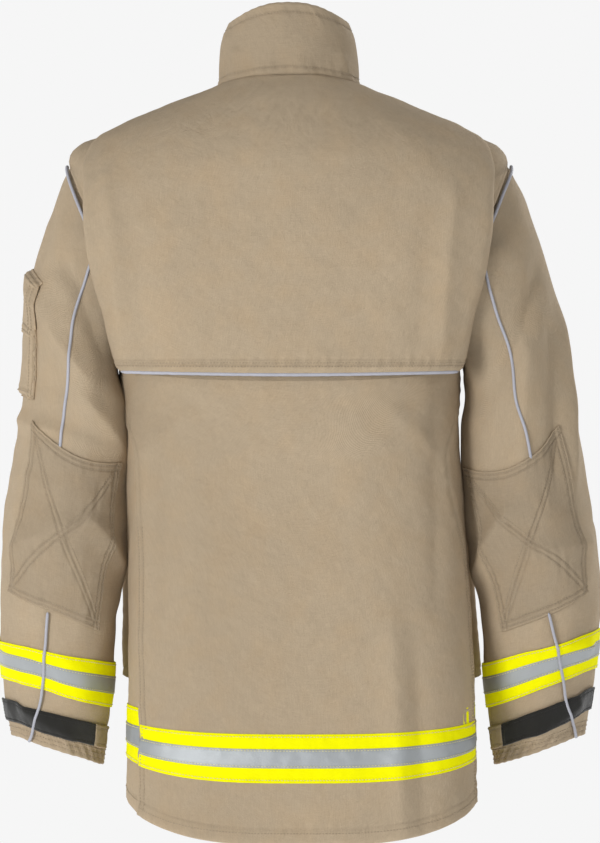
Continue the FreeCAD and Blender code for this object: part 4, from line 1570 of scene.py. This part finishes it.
CUTS = {
    Side.LEFT: SleeveCut((46, 32), (146, 134), (2.45, 0.24, 0.20), (5.06, 0.34, 0.0),
                         ((70, 0.10), (77, 0.50), (82, 1.00), (82, 1.40), (78, 2.00), (77, 2.72)),
                         ((82, 5.26), (80, 5.90), (72, 6.50), (60, 6.86), (54, 6.99)), 0.0),
    Side.RIGHT: SleeveCut((50, 40), (164, 132), (2.49, 0.24, 0.30), (5.05, 0.37, 0.06),
                          ((72, 0.05), (84, 0.45), (93, 0.95), (94, 1.80), (88, 2.40), (86, 2.84)),
                          ((84, 5.26), (76, 5.80), (68, 6.20), (60, 6.60), (44, 6.88), (39, 6.99)), -0.065),
}


@dataclass
class Sleeve:
    """One sleeve: two cloth pieces, patch, piping, trim, strap, tab, wristlet and hems."""

    side: Side
    columns: int = 190

    def __post_init__(self) -> None:
        """Lays the folds on this side's surface and sets what the pieces move with."""
        folds = SLEEVE_FOLDS_LEFT if self.side is Side.LEFT else SLEEVE_FOLDS_RIGHT
        self.flip = self.side is Side.LEFT
        base = sleeve if self.flip else mirror_of(sleeve)
        self.surface = draped(base, folds, round_arm, self.flip, (0.5, 0.01), arm_lean)
        self.cut = CUTS[self.side]
        s, word = self.side.value, self.side.word
        arm, forearm = f"{word}_upper_arm", f"{word}_forearm"
        self.shoulder = Carrier("torso", arm, (0.205 * s, MID_Y, -0.165), (0.2475 * s, MID_Y, -0.2375))
        self.elbow = Carrier(arm, forearm, (0.251 * s, MID_Y, -0.425), (0.251 * s, MID_Y, -0.535))
        self.forearm = Carrier(forearm)

    def cuff(self, turn: Array, along: Array, lift: Union[float, Array] = 0.0) -> Array:
        """Surface of the cuff, tilted as its trim and strap are."""
        return self.surface(turn, along + self.cut.tilt * (np.cos(np.radians(turn)) + 0.87), lift)

    def ring_grid(self, v: Array, lift: Union[float, Array] = 0.0, columns: int = 0) -> Array:
        """Closed grid round the arm at positions v."""
        columns = columns or self.columns
        turns = np.linspace(0, 360, columns, endpoint=False)[None, :] + 180.0
        return self.surface(turns, np.broadcast_to(v[:, None], (len(v), columns)), lift)

    def build(self, shop: Workshop) -> None:
        """Makes every piece of the sleeve.

        Args:
            shop: finishes the pieces.
        """
        w = self.side.word
        f = shop.finishes
        top = np.concatenate([np.linspace(0.0, 0.12, 8)[:-1], np.linspace(0.12, SPLIT, 100)])
        sink = -0.004 * np.clip(1 - top / 0.10, 0, 1)[:, None] ** 2
        upper = Cloth(f"{w}_upper_sleeve_shell", self.ring_grid(top, 0.0006 + sink), closed=True, flip=self.flip,
                      seed=51, edge_wear=0.0, butted="bottom")
        shop.cloth(upper, f.shell, "shell_cloth", self.shoulder, [f"{w}_upper_sleeve", f"{w}_sleeve_head"])
        low = np.linspace(SPLIT, CUFF_END, 190)
        hem = [Stitching("bottom", inset) for inset in (0.004, 0.0085, 0.013)]
        lower = Cloth(f"{w}_lower_sleeve_shell", self.ring_grid(low, 0.0006), closed=True, flip=self.flip,
                      stitching=hem, seed=52, edge_wear=0.0, butted="top")
        shop.cloth(lower, f.shell, "shell_cloth", self.elbow, [f"{w}_elbow_section", f"{w}_forearm_sleeve"])
        self._patch(shop)
        self._piping(shop)
        cuff_trim = Trim(f"{w}_cuff", self.cuff, between(0, 360), CUFF_TAPE[0], CUFF_TAPE[1], 0.0026,
                         closed=True, flip=self.flip, columns=150, rows=24)
        cuff_trim.build(shop, self.forearm, [f"{w}_cuff_tape"], [f"{w}_cuff_silver"])
        self._strap(shop)
        knit = Cloth(f"{w}_knit_wristlet", self.ring_grid(np.linspace(6.2, 6.93, 40), self._ribs(), 180), 0.0028,
                     closed=True, flip=self.flip, edge_wear=0.0)
        shop.cloth(knit, f.knit, "knit", self.forearm, [f"{w}_wristlet"], sheet=False)
        if self.side is Side.LEFT:
            self._arm_pocket(shop)

    def _arm_pocket(self, shop: Workshop) -> None:
        """Pocket on the outside of the wearer's left upper arm, with its flap.

        Args:
            shop: finishes the pieces.
        """
        arm = Carrier("left_upper_arm")
        bag = Pouch("left_arm_pocket_bag", self.surface, ARM_POCKET_TURNS, *ARM_POCKET, 0.0038, 0.0022,
                    flip=True, foot_run=0.05, turn_run=3.0)
        bag.build(shop, arm, ["left_arm_pocket"])
        flap = Flap("left_arm_flap_cloth", self.surface, ARM_FLAP_TURNS, *ARM_FLAP, 0.0090, ARM_FLAP_ROOT,
                    flip=True, curl=0.0046)
        flap.build(shop, arm, Carrier("arm_flap"), ["left_arm_flap"])

    def _ribs(self) -> Array:
        """Lift of the wristlet's ribs, 45 to the round."""
        return -0.0075 + 0.0006 * np.sin(np.linspace(0, math.tau * 45, 180, endpoint=False))[None, :]

    def _patch(self, shop: Workshop) -> None:
        """Elbow patch: its top edge slopes down towards the body, and two double rows cross it.

        Args:
            shop: finishes the pieces.
        """
        w = self.side.word
        cut, share = self.cut, np.linspace(0, 1, 160)[None, :]
        edge = lambda row: row[0] + row[1] * share + row[2] * np.sin(np.pi * share)
        t = np.linspace(0, 1, 210)[:, None]
        v = edge(cut.patch_top) * (1 - t) + edge(cut.patch_foot) * t
        outer, inner = (a * (1 - t) + b * t for a, b in (cut.patch_outer, cut.patch_inner))
        turns = outer * (1 - share) + inner * share
        grid = self.surface(turns, v, 0.0030)
        rows = [Stitching(side, inset) for side in ("top", "bottom", "left", "right") for inset in (0.0025, 0.0080)]
        for line in (((0.08, 0.06), (0.92, 0.94)), ((0.08, 0.94), (0.92, 0.06))):
            rows += [Stitching(inset=inset, line=line) for inset in (-0.0028, 0.0028)]
        patch = Cloth(f"{w}_elbow_patch_cloth", grid, 0.0016, flip=self.flip, stitching=rows, pucker=0.0004, seed=53)
        shop.cloth(patch, shop.finishes.patch, "patch_cloth", self.elbow, [f"{w}_elbow_patch"])

    def _piping(self, shop: Workshop) -> None:
        """Piping down the rear seam: above the patch, and from the patch to the hem.

        Args:
            shop: finishes the pieces.
        """
        w = self.side.word
        for name, marks, carrier in (("upper_piping", self.cut.rear_piping, self.shoulder),
                                     ("lower_piping", self.cut.lower_piping, self.forearm)):
            marks = np.array(marks, float)
            step = np.arange(len(marks), dtype=float)
            run = through_rows(np.column_stack([step, marks]), np.linspace(0, step[-1], 120))
            low = 0.0036 if name == "lower_piping" else 0.0014
            path = self.surface(run[:, 0], run[:, 1], low)
            cord = tube(f"{w}_{name}", path, self.surface(run[:, 0], run[:, 1], low + 0.002) - path, 0.0016)
            shop.finish(cord, shop.finishes.piping, carrier)
        c = np.radians(np.linspace(-20, 150, 90))
        rise = 0.0032 - 0.0080 * np.clip(1 - np.minimum(c - c[0], c[-1] - c) / 0.16, 0, 1) ** 2
        path = self.surface(np.degrees(c), np.full(c.shape, 0.055), rise)
        above = self.surface(np.degrees(c), np.full(c.shape, 0.055), rise + 0.0036)
        cord = tube(f"{w}_armhole_cord", path, above - path, 0.0017)
        shop.finish(cord, shop.finishes.piping, Carrier("torso"), [f"{w}_armhole_piping"])

    def _strap(self, shop: Workshop) -> None:
        """Black cuff strap round the back of the cuff, with its lighter tab at the inner end.

        Args:
            shop: finishes the pieces.
        """
        w = self.side.word
        v = np.linspace(CUFF_STRAP[0], CUFF_STRAP[1], 16)
        rows = [Stitching(edge, 0.0025, groove=0.0004) for edge in ("top", "bottom", "left", "right")]
        strap = Cloth(f"{w}_cuff_strap_tape", grid_of(self.cuff, between(*STRAP_TURNS), v, 120, 0.0040), 0.0022,
                      flip=self.flip, stitching=rows, pucker=0.0003)
        shop.cloth(strap, shop.finishes.strap, "strap_tape", self.forearm, [f"{w}_cuff_strap"],
                   shop.finishes.webbing, sheet=False)
        tab = Cloth(f"{w}_cuff_tab_cloth", grid_of(self.cuff, between(*TAB_TURNS), v, 30, 0.0046), 0.0026,
                    flip=self.flip, stitching=[Stitching(edge, 0.003) for edge in ("top", "bottom", "right")])
        shop.cloth(tab, shop.finishes.patch, "shell_cloth", Carrier(f"{w}_cuff_tab"), [f"{w}_cuff_tab"], sheet=False)


@dataclass
class Fronts:
    """One side of the body: flank, front shoulder, chest and front edge in one sheet, with its liner."""

    side: Side
    rows: int = 210
    columns: int = 130

    def spans(self, first: Callable[[Array], Array], last: Callable[[Array], Array]) -> Callable:
        """Span from the seam to the front, on this side.

        Args:
            first: angle of the seam edge on the left.
            last: angle of the front edge on the left.

        Returns:
            The span, turned round on the right so that u still grows the same way.
        """
        if self.side is Side.LEFT:
            return lambda rows: (first(rows), last(rows))
        return lambda rows: (-last(rows), -first(rows))

    @staticmethod
    def seam(drop: Array) -> Array:
        """Angle of the sheet's seam edge: 4 degrees under the back panel below the armhole."""
        tuck = 4.0 * np.clip((drop - 0.318) / 0.03, 0, 1)
        return armhole_angle(drop, True) * (drop < 0.320) + armhole_angle(drop, False) * (drop >= 0.320) - tuck

    @staticmethod
    def edge(inset: float) -> Callable[[Array], Array]:
        """Angle of the front edge at an inset from the middle."""
        return lambda drop: front_angle(drop, inset)

    def build(self, shop: Workshop) -> None:
        """Makes the shell, its trim, the liner, the zip's half and the cargo pocket.

        Args:
            shop: finishes the pieces.
        """
        w = self.side.word
        carrier = front_carrier(self.side)
        drops = np.concatenate([np.linspace(0.0, 0.14, 40)[:-1], np.linspace(0.14, 0.32, 70)[:-1],
                                np.linspace(0.32, BACK_LENGTH, self.rows - 108)])
        zip_edge = "right" if self.side is Side.LEFT else "left"
        rows = [Stitching("bottom", 0.0155), Stitching(zip_edge, 0.004), Stitching(zip_edge, 0.030)]
        shell = Cloth(f"{w}_front_shell", grid_of(torso_cloth, self.spans(self.seam, self.edge(0.0090)), drops,
                                                  self.columns, 0.0018), stitching=rows, seed=71)
        shop.cloth(shell, shop.finishes.shell, "shell_cloth", carrier, [f"{w}_front_panel", f"{w}_side_panel"])
        inset = SLIDER_CLEAR if self.side is Side.LEFT else TRIM_INSET
        trim = self.spans(lambda d: self.seam(d) + 0.2, self.edge(inset))
        Trim(f"{w}_front_trim", torso_cloth, trim, *FRONT_TAPE, 0.0030, columns=170).build(
            shop, carrier, [f"{w}_side_tape", f"{w}_front_tape"], [f"{w}_side_silver", f"{w}_front_silver"])
        Lining(f"{w}_front_lining", self.spans(lambda d: armhole_angle(d, False) + 1.5, self.edge(0.016)), 0.330,
               0.762).build(shop, carrier, [f"{w}_side_liner", f"{w}_front_liner"])
        self._zip_half(shop, carrier)
        self._pocket(shop)

    def _zip_half(self, shop: Workshop, carrier: Carrier) -> None:
        """Zip tape with its moulded teeth, 3 mm apart, the two sides half a pitch apart.

        Args:
            shop: finishes the pieces.
            carrier: what it moves with.
        """
        w, s = self.side.word, self.side.value
        drops = np.linspace(0.034, 0.745, 160)
        tape = Cloth(f"{w}_zip_tape", grid_of(torso_cloth, self.spans(self.edge(0.0150), self.edge(0.0024)), drops, 9,
                                              0.0004), 0.0010, edge_wear=0.0)
        shop.cloth(tape, shop.finishes.strap, "zip_tape", carrier, sheet=False)
        at = np.arange(0.036, 0.743, 0.003) + (0.0015 if s < 0 else 0.0)
        angle = front_angle(at, 0.0022) * s
        centre, above = torso_cloth(angle, at, 0.0016), torso_cloth(angle, at, 0.0026)
        box = np.array([(x, y, z) for z in (-1, 1) for y in (-1, 1) for x in (-1, 1)]) * (0.0021, 0.0010, 0.0009)
        out = (above - centre) / 0.001
        points = centre[:, None] + box[None, :, 0:1] * (1, 0, 0) + box[None, :, 1:2] * out[:, None] \
            + box[None, :, 2:3] * (0, 0, 1)
        faces = np.array([(0, 1, 3, 2), (4, 6, 7, 5), (0, 4, 5, 1), (2, 3, 7, 6), (0, 2, 6, 4), (1, 5, 7, 3)])[:, ::-1]
        quads = (faces[None] + np.arange(len(at))[:, None, None] * 8).reshape(-1, 4)
        teeth = make_mesh(f"{w}_zip_teeth", points.reshape(-1, 3), quads)
        teeth.data.shade_flat()
        shop.finish(teeth, shop.finishes.zip, carrier, [f"{w}_zip_half"])

    def _pocket(self, shop: Workshop) -> None:
        """Bellows pocket, its flap and the band that the flap hangs from.

        Args:
            shop: finishes the pieces.
        """
        w = self.side.word
        near, far = CARGO_ANGLES
        turns = (near, far) if self.side is Side.LEFT else (-far, -near)
        Pouch(f"{w}_cargo_pocket_bag", torso_cloth, turns, *CARGO_POCKET, 0.0178, 0.0028).build(
            shop, Carrier("torso"), [f"{w}_cargo_pocket"])
        wide = (turns[0] - 0.4, turns[1] + 0.4)
        Flap(f"{w}_pocket_flap_cloth", torso_cloth, wide, *CARGO_FLAP, 0.0228, CARGO_FLAP_ROOT).build(
            shop, Carrier("torso"), Carrier(f"{w}_pocket_flap"), [f"{w}_pocket_flap"])


@dataclass
class Lining:
    """Quilted lining whose seen face looks into the coat, puffed between diamond rows.

    The puff is height times the root of |sin(pi (u + v) / d) sin(pi (u - v) / d)|.
    """

    name: str
    spans: Callable[[Array], tuple[Array, Array]]
    start: float
    end: float
    columns: int = 110
    rows: int = 150
    diamond: float = 0.045
    puff: float = 0.0016

    def build(self, shop: Workshop, carrier: Carrier, nodes: Sequence[str]) -> None:
        """Makes the lining.

        Args:
            shop: finishes the pieces.
            carrier: what it moves with.
            nodes: frame nodes that it stands for.
        """
        drops = np.linspace(self.start, self.end, self.rows)
        grid = grid_of(torso_cloth, self.spans, drops, self.columns, -0.0038)
        u, v = arc_lengths(grid, 1), arc_lengths(grid, 0)
        one, two = np.sin(np.pi * (u + v) / self.diamond), np.sin(np.pi * (u - v) / self.diamond)
        grid = grid + grid_normals(grid, False, True) * (self.puff * np.sqrt(np.abs(one * two)))[..., None]
        lining = Cloth(self.name, grid, 0.0026, flip=True, edge_wear=0.2)
        shop.cloth(lining, shop.finishes.liner, "liner_cloth", carrier, nodes)


@dataclass
class Pouch:
    """Bellows pocket, open at the top: it rises from its sewn edge to its full depth over 5 mm."""

    name: str
    surface: Callable
    turns: tuple[float, float]
    start: float
    end: float
    depth: float
    base: float
    flip: bool = False
    foot_run: float = 0.0050
    turn_run: float = 2.2

    def build(self, shop: Workshop, carrier: Carrier, nodes: Sequence[str]) -> None:
        """Makes the pocket and sews its borders.

        Args:
            shop: finishes the pieces.
            carrier: what it moves with.
            nodes: frame nodes that it stands for.
        """
        wall = np.linspace(0, 1, 9) ** 1.5
        first, last = self.turns
        u = np.concatenate([first + self.turn_run * wall, np.linspace(first + self.turn_run, last - self.turn_run,
                                                                     80)[1:-1], last - self.turn_run * wall[::-1]])
        run = self.foot_run
        v = np.concatenate([np.linspace(self.start, self.end - run, 90), self.end - run * wall[::-1][1:]])
        near = np.minimum(np.minimum(u - first, last - u)[None, :] / self.turn_run, ((self.end - v) / run)[:, None])
        rise = np.clip(near, 0, 1) ** 0.6
        crown = np.sin(np.pi * np.clip((u - first) / (last - first), 0, 1))[None, :] * 0.0016
        fold = -0.0022 * np.exp(-(((np.clip(near, 0, 3) - 0.35) / 0.16) ** 2))
        lift = self.base + self.depth * rise + crown * (near > 1) + fold
        inset = self.depth + 0.0085
        rows = [Stitching("left", inset), Stitching("right", inset), Stitching("bottom", inset),
                Stitching("top", 0.004), Stitching("top", 0.022), Stitching("left", 0.0015),
                Stitching("right", 0.0015)]
        grid = self.surface(np.broadcast_to(u, lift.shape), np.broadcast_to(v[:, None], lift.shape), lift)
        bag = Cloth(self.name, grid, flip=self.flip, stitching=rows, seed=81, pucker=0.0003)
        shop.cloth(bag, shop.finishes.shell, "shell_cloth", carrier, nodes)


@dataclass
class Flap:
    """Pocket flap with clipped lower corners, and the band that joins its upper edge to the shell."""

    name: str
    surface: Callable
    turns: tuple[float, float]
    start: float
    end: float
    lift: float
    root: float
    flip: bool = False
    base: float = 0.0024
    curl: float = 0.0

    def build(self, shop: Workshop, fixed: Carrier, moving: Carrier, nodes: Sequence[str]) -> None:
        """Makes the flap and its band.

        Args:
            shop: finishes the pieces.
            fixed: what the band moves with.
            moving: what the flap moves with.
            nodes: frame nodes that it stands for.
        """
        v = np.linspace(self.start, self.end, 46)
        share = (v - self.start) / (self.end - self.start)
        cut = 0.06 * np.clip((share - 0.80) / 0.20, 0, 1)
        wide = self.turns[1] - self.turns[0]
        spans = lambda rows: (self.turns[0] + wide * cut, self.turns[1] - wide * cut)
        side = np.clip((np.abs(np.linspace(-1, 1, 90)) - 0.90) / 0.10, 0, 1)[None, :]
        sag = -0.0012 * np.sin(np.pi * share)[:, None] - self.curl * side ** 2
        rows = [Stitching(edge, inset) for edge in ("left", "right", "bottom") for inset in (0.003, 0.009)]
        flap = Cloth(self.name, grid_of(self.surface, spans, v, 90, self.lift + sag), flip=self.flip, stitching=rows,
                     seed=83)
        shop.cloth(flap, shop.finishes.shell, "shell_cloth", moving, nodes)
        w = np.linspace(self.root, self.start, 26)
        t = (w - self.root) / (self.start - self.root)
        rise = (self.base + (self.lift - self.base) * np.sin(np.pi / 2 * t) ** 1.4)[:, None]
        rise = rise - self.curl * side ** 2 * t[:, None]
        band = Cloth(self.name + "_band", grid_of(self.surface, between(*self.turns), w, 90, rise),
                     flip=self.flip, stitching=[Stitching("top", 0.003), Stitching("top", 0.009)], seed=84)
        shop.cloth(band, shop.finishes.shell, "shell_cloth", fixed)


@dataclass
class Closure:
    """What closes the fronts: storm flap with its trim, throat tab and the zip's slider."""

    reach: float = 0.036
    throat: float = 22.1

    def build(self, shop: Workshop) -> None:
        """Makes the flap, its trim and the tab, and gives the slider its metal.

        Args:
            shop: finishes the pieces.
        """
        def spans(rows: Array) -> tuple[Array, Array]:
            """Both edges of the flap."""
            edge = front_angle(rows, self.reach)
            return edge, 360.0 - edge
        drops = np.linspace(0.040, 0.745, 230)
        rows = [Stitching(edge, inset) for edge in ("left", "right") for inset in (0.003, 0.0095)]
        rows += [Stitching("top", 0.003), Stitching("bottom", 0.003), Stitching("bottom", 0.0095)]
        flap = Cloth("storm_flap_cloth", grid_of(torso_cloth, spans, drops, 44, 0.0114), stitching=rows, seed=91)
        shop.cloth(flap, shop.finishes.shell, "shell_cloth", Carrier("storm_flap"), ["storm_flap"])
        Trim("storm_flap_trim", torso_cloth, spans, *STORM_TAPE, 0.0124, columns=60).build(
            shop, Carrier("storm_flap"), [], [])
        rises = np.linspace(0.024, 0.056, 26)
        surface = draped(collar_surface, [], front_view, True, (0.2, 0.0005))
        border = [Stitching(edge, 0.003) for edge in ("left", "right", "top", "bottom")]
        tab = Cloth("throat_tab_cloth", grid_of(surface, between(180 - self.throat, 180 + self.throat), rises, 60,
                                                0.0078), flip=True, stitching=border, seed=92)
        shop.cloth(tab, shop.finishes.collar, "collar_cloth", Carrier("throat_tab"), ["throat_tab"])
        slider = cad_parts["zip_slider"]
        slider.data.materials.clear()
        slider.data.materials.append(shop.finishes.slider)


@dataclass
class HangLoop:
    """Webbing loop inside the nape: x = 24 mm u, y = 4.2 - 8.5 (1 - u^4) mm, 9 mm high."""

    half: float = 0.024
    end_y: float = 0.0042
    bow: float = 0.0085
    height: float = 0.009

    def build(self, shop: Workshop) -> None:
        """Makes the loop.

        Args:
            shop: finishes the pieces.
        """
        u, v = np.meshgrid(np.linspace(-1, 1, 60), np.linspace(0, 1, 14))
        grid = np.stack([u * self.half, self.end_y - self.bow * (1 - u ** 4), -self.height * v], axis=-1)
        loop = Cloth("nape_hang_loop", grid, 0.0018, edge_wear=0.0,
                     stitching=[Stitching("left", 0.003), Stitching("right", 0.003)], pucker=0.0)
        shop.cloth(loop, shop.finishes.webbing, "loop_webbing", Carrier("torso"), ["hang_loop"], sheet=False)


# ---------------------------------------------------------------- studio
@dataclass
class Studio:
    """Pale floor, soft lights and a camera level with the middle of the coat."""

    distance: float = 9.0
    target: tuple[float, float, float] = (-0.0065, 0.028, -0.3635)
    view_height: float = 0.8862
    floor: float = -1.35
    ambient: float = 0.36
    lamps: tuple = (("key", (2.1, 2.7, -0.3), 1.0, 66.0), ("fill", (-2.3, 2.7, 0.5), 2.4, 13.0),
                    ("top", (0.4, 0.8, 2.6), 1.8, 7.0), ("front_key", (-2.2, -2.8, 1.0), 1.6, 60.0),
                    ("front_fill", (2.4, -2.4, 0.1), 2.4, 20.0))

    def build(self) -> None:
        """Makes the floor, the lights and the camera."""
        self._floor()
        self._lights()
        self._camera()

    def _floor(self) -> None:
        """Round floor, 10 m across its radius: rings of radius r at the floor's height."""
        ring, turn = np.meshgrid(np.linspace(0.01, 1, 12) * 10.0, np.linspace(0, math.tau, 96, endpoint=False))
        points = np.stack([ring * np.cos(turn), ring * np.sin(turn), np.full(ring.shape, self.floor)], axis=-1)
        index = np.arange(ring.size).reshape(ring.shape)
        ahead = np.roll(index, -1, axis=0)
        quads = np.stack([index[:, :-1], index[:, 1:], ahead[:, 1:], ahead[:, :-1]], axis=-1).reshape(-1, 4)
        floor = make_mesh("studio_floor", points.reshape(-1, 3), quads)
        s = Shader("floor_paper")
        s.feed("Base Color", s.mix(s.noise(s.place(), 1.5), (0.30, 0.30, 0.30, 1), (0.33, 0.33, 0.33, 1)))
        s.constants(Roughness=0.9, Emission_Color=(1.0, 1.0, 1.0, 1.0), Emission_Strength=0.74)
        floor.data.materials.append(s.material)

    def _lights(self) -> None:
        """Large key from behind the coat's left, weaker fill, top, and two before its front."""
        for name, place, size, power in self.lamps:
            light = bpy.data.lights.new(name, "AREA")
            light.energy, light.size, light.shape = power, size, "SQUARE"
            lamp = bpy.data.objects.new(name, light)
            lamp.location = place
            lamp.rotation_euler = (Vector(self.target) - Vector(place)).to_track_quat("-Z", "Y").to_euler()
            bpy.context.scene.collection.objects.link(lamp)
        world = bpy.data.worlds.new("studio")
        world.use_nodes = True
        tree = world.node_tree
        glow, seen = tree.nodes["Background"], tree.nodes.new("ShaderNodeBackground")
        mix = tree.nodes.new("ShaderNodeMixShader")
        glow.inputs[0].default_value, glow.inputs[1].default_value = (1, 1, 1, 1), self.ambient
        seen.inputs[0].default_value, seen.inputs[1].default_value = (0.922, 0.922, 0.922, 1), 1.0
        tree.links.new(tree.nodes.new("ShaderNodeLightPath").outputs["Is Camera Ray"], mix.inputs[0])
        tree.links.new(glow.outputs[0], mix.inputs[1])
        tree.links.new(seen.outputs[0], mix.inputs[2])
        tree.links.new(mix.outputs[0], tree.nodes["World Output"].inputs[0])
        bpy.context.scene.world = world
        bpy.context.scene.view_settings.view_transform = "Standard"

    def _camera(self) -> None:
        """Camera square behind the coat, level with its middle."""
        camera = bpy.data.cameras.new("camera")
        camera.sensor_width = 36.0
        camera.lens = camera.sensor_width * self.distance / self.view_height
        eye = bpy.data.objects.new("camera", camera)
        aim = Vector(self.target)
        eye.location = aim + Vector((0.0, self.distance, 0.0))
        eye.rotation_euler = (aim - eye.location).to_track_quat("-Z", "Y").to_euler()
        bpy.context.scene.collection.objects.link(eye)
        bpy.context.scene.camera = eye


def main() -> None:
    """Builds the studio and the coat."""
    logging.basicConfig(level=logging.INFO, format="%(name)s %(message)s")
    Studio().build()
    shop = Workshop(Finishes())
    BackPanel().build(shop)
    Overlay().build(shop)
    Collar().build(shop)
    for side in Side:
        Sleeve(side).build(shop)
        Fronts(side).build(shop)
    Closure().build(shop)
    HangLoop().build(shop)
    lining_edge = lambda rows: armhole_angle(rows, False) - 2.0
    Lining("back_lining", lambda rows: (-lining_edge(rows), lining_edge(rows)), 0.014, 0.785, 170, 260).build(
        shop, Carrier("torso"), ["back_liner"])
    back = BackPanel()
    Trim("back_trim", torso_cloth, lambda rows: (-back.right_edge(rows) + 0.2, back.edge(rows) - 0.2), BACK_TAPE_TOP,
         BACK_TAPE_TOP + TAPE_HEIGHT, back.lift + 0.0010, columns=220).build(
             shop, Carrier("torso"), ["back_tape"], ["back_silver"])
    log.info("%d pieces dressed", shop.count)


if __name__ == "__main__":
    main()
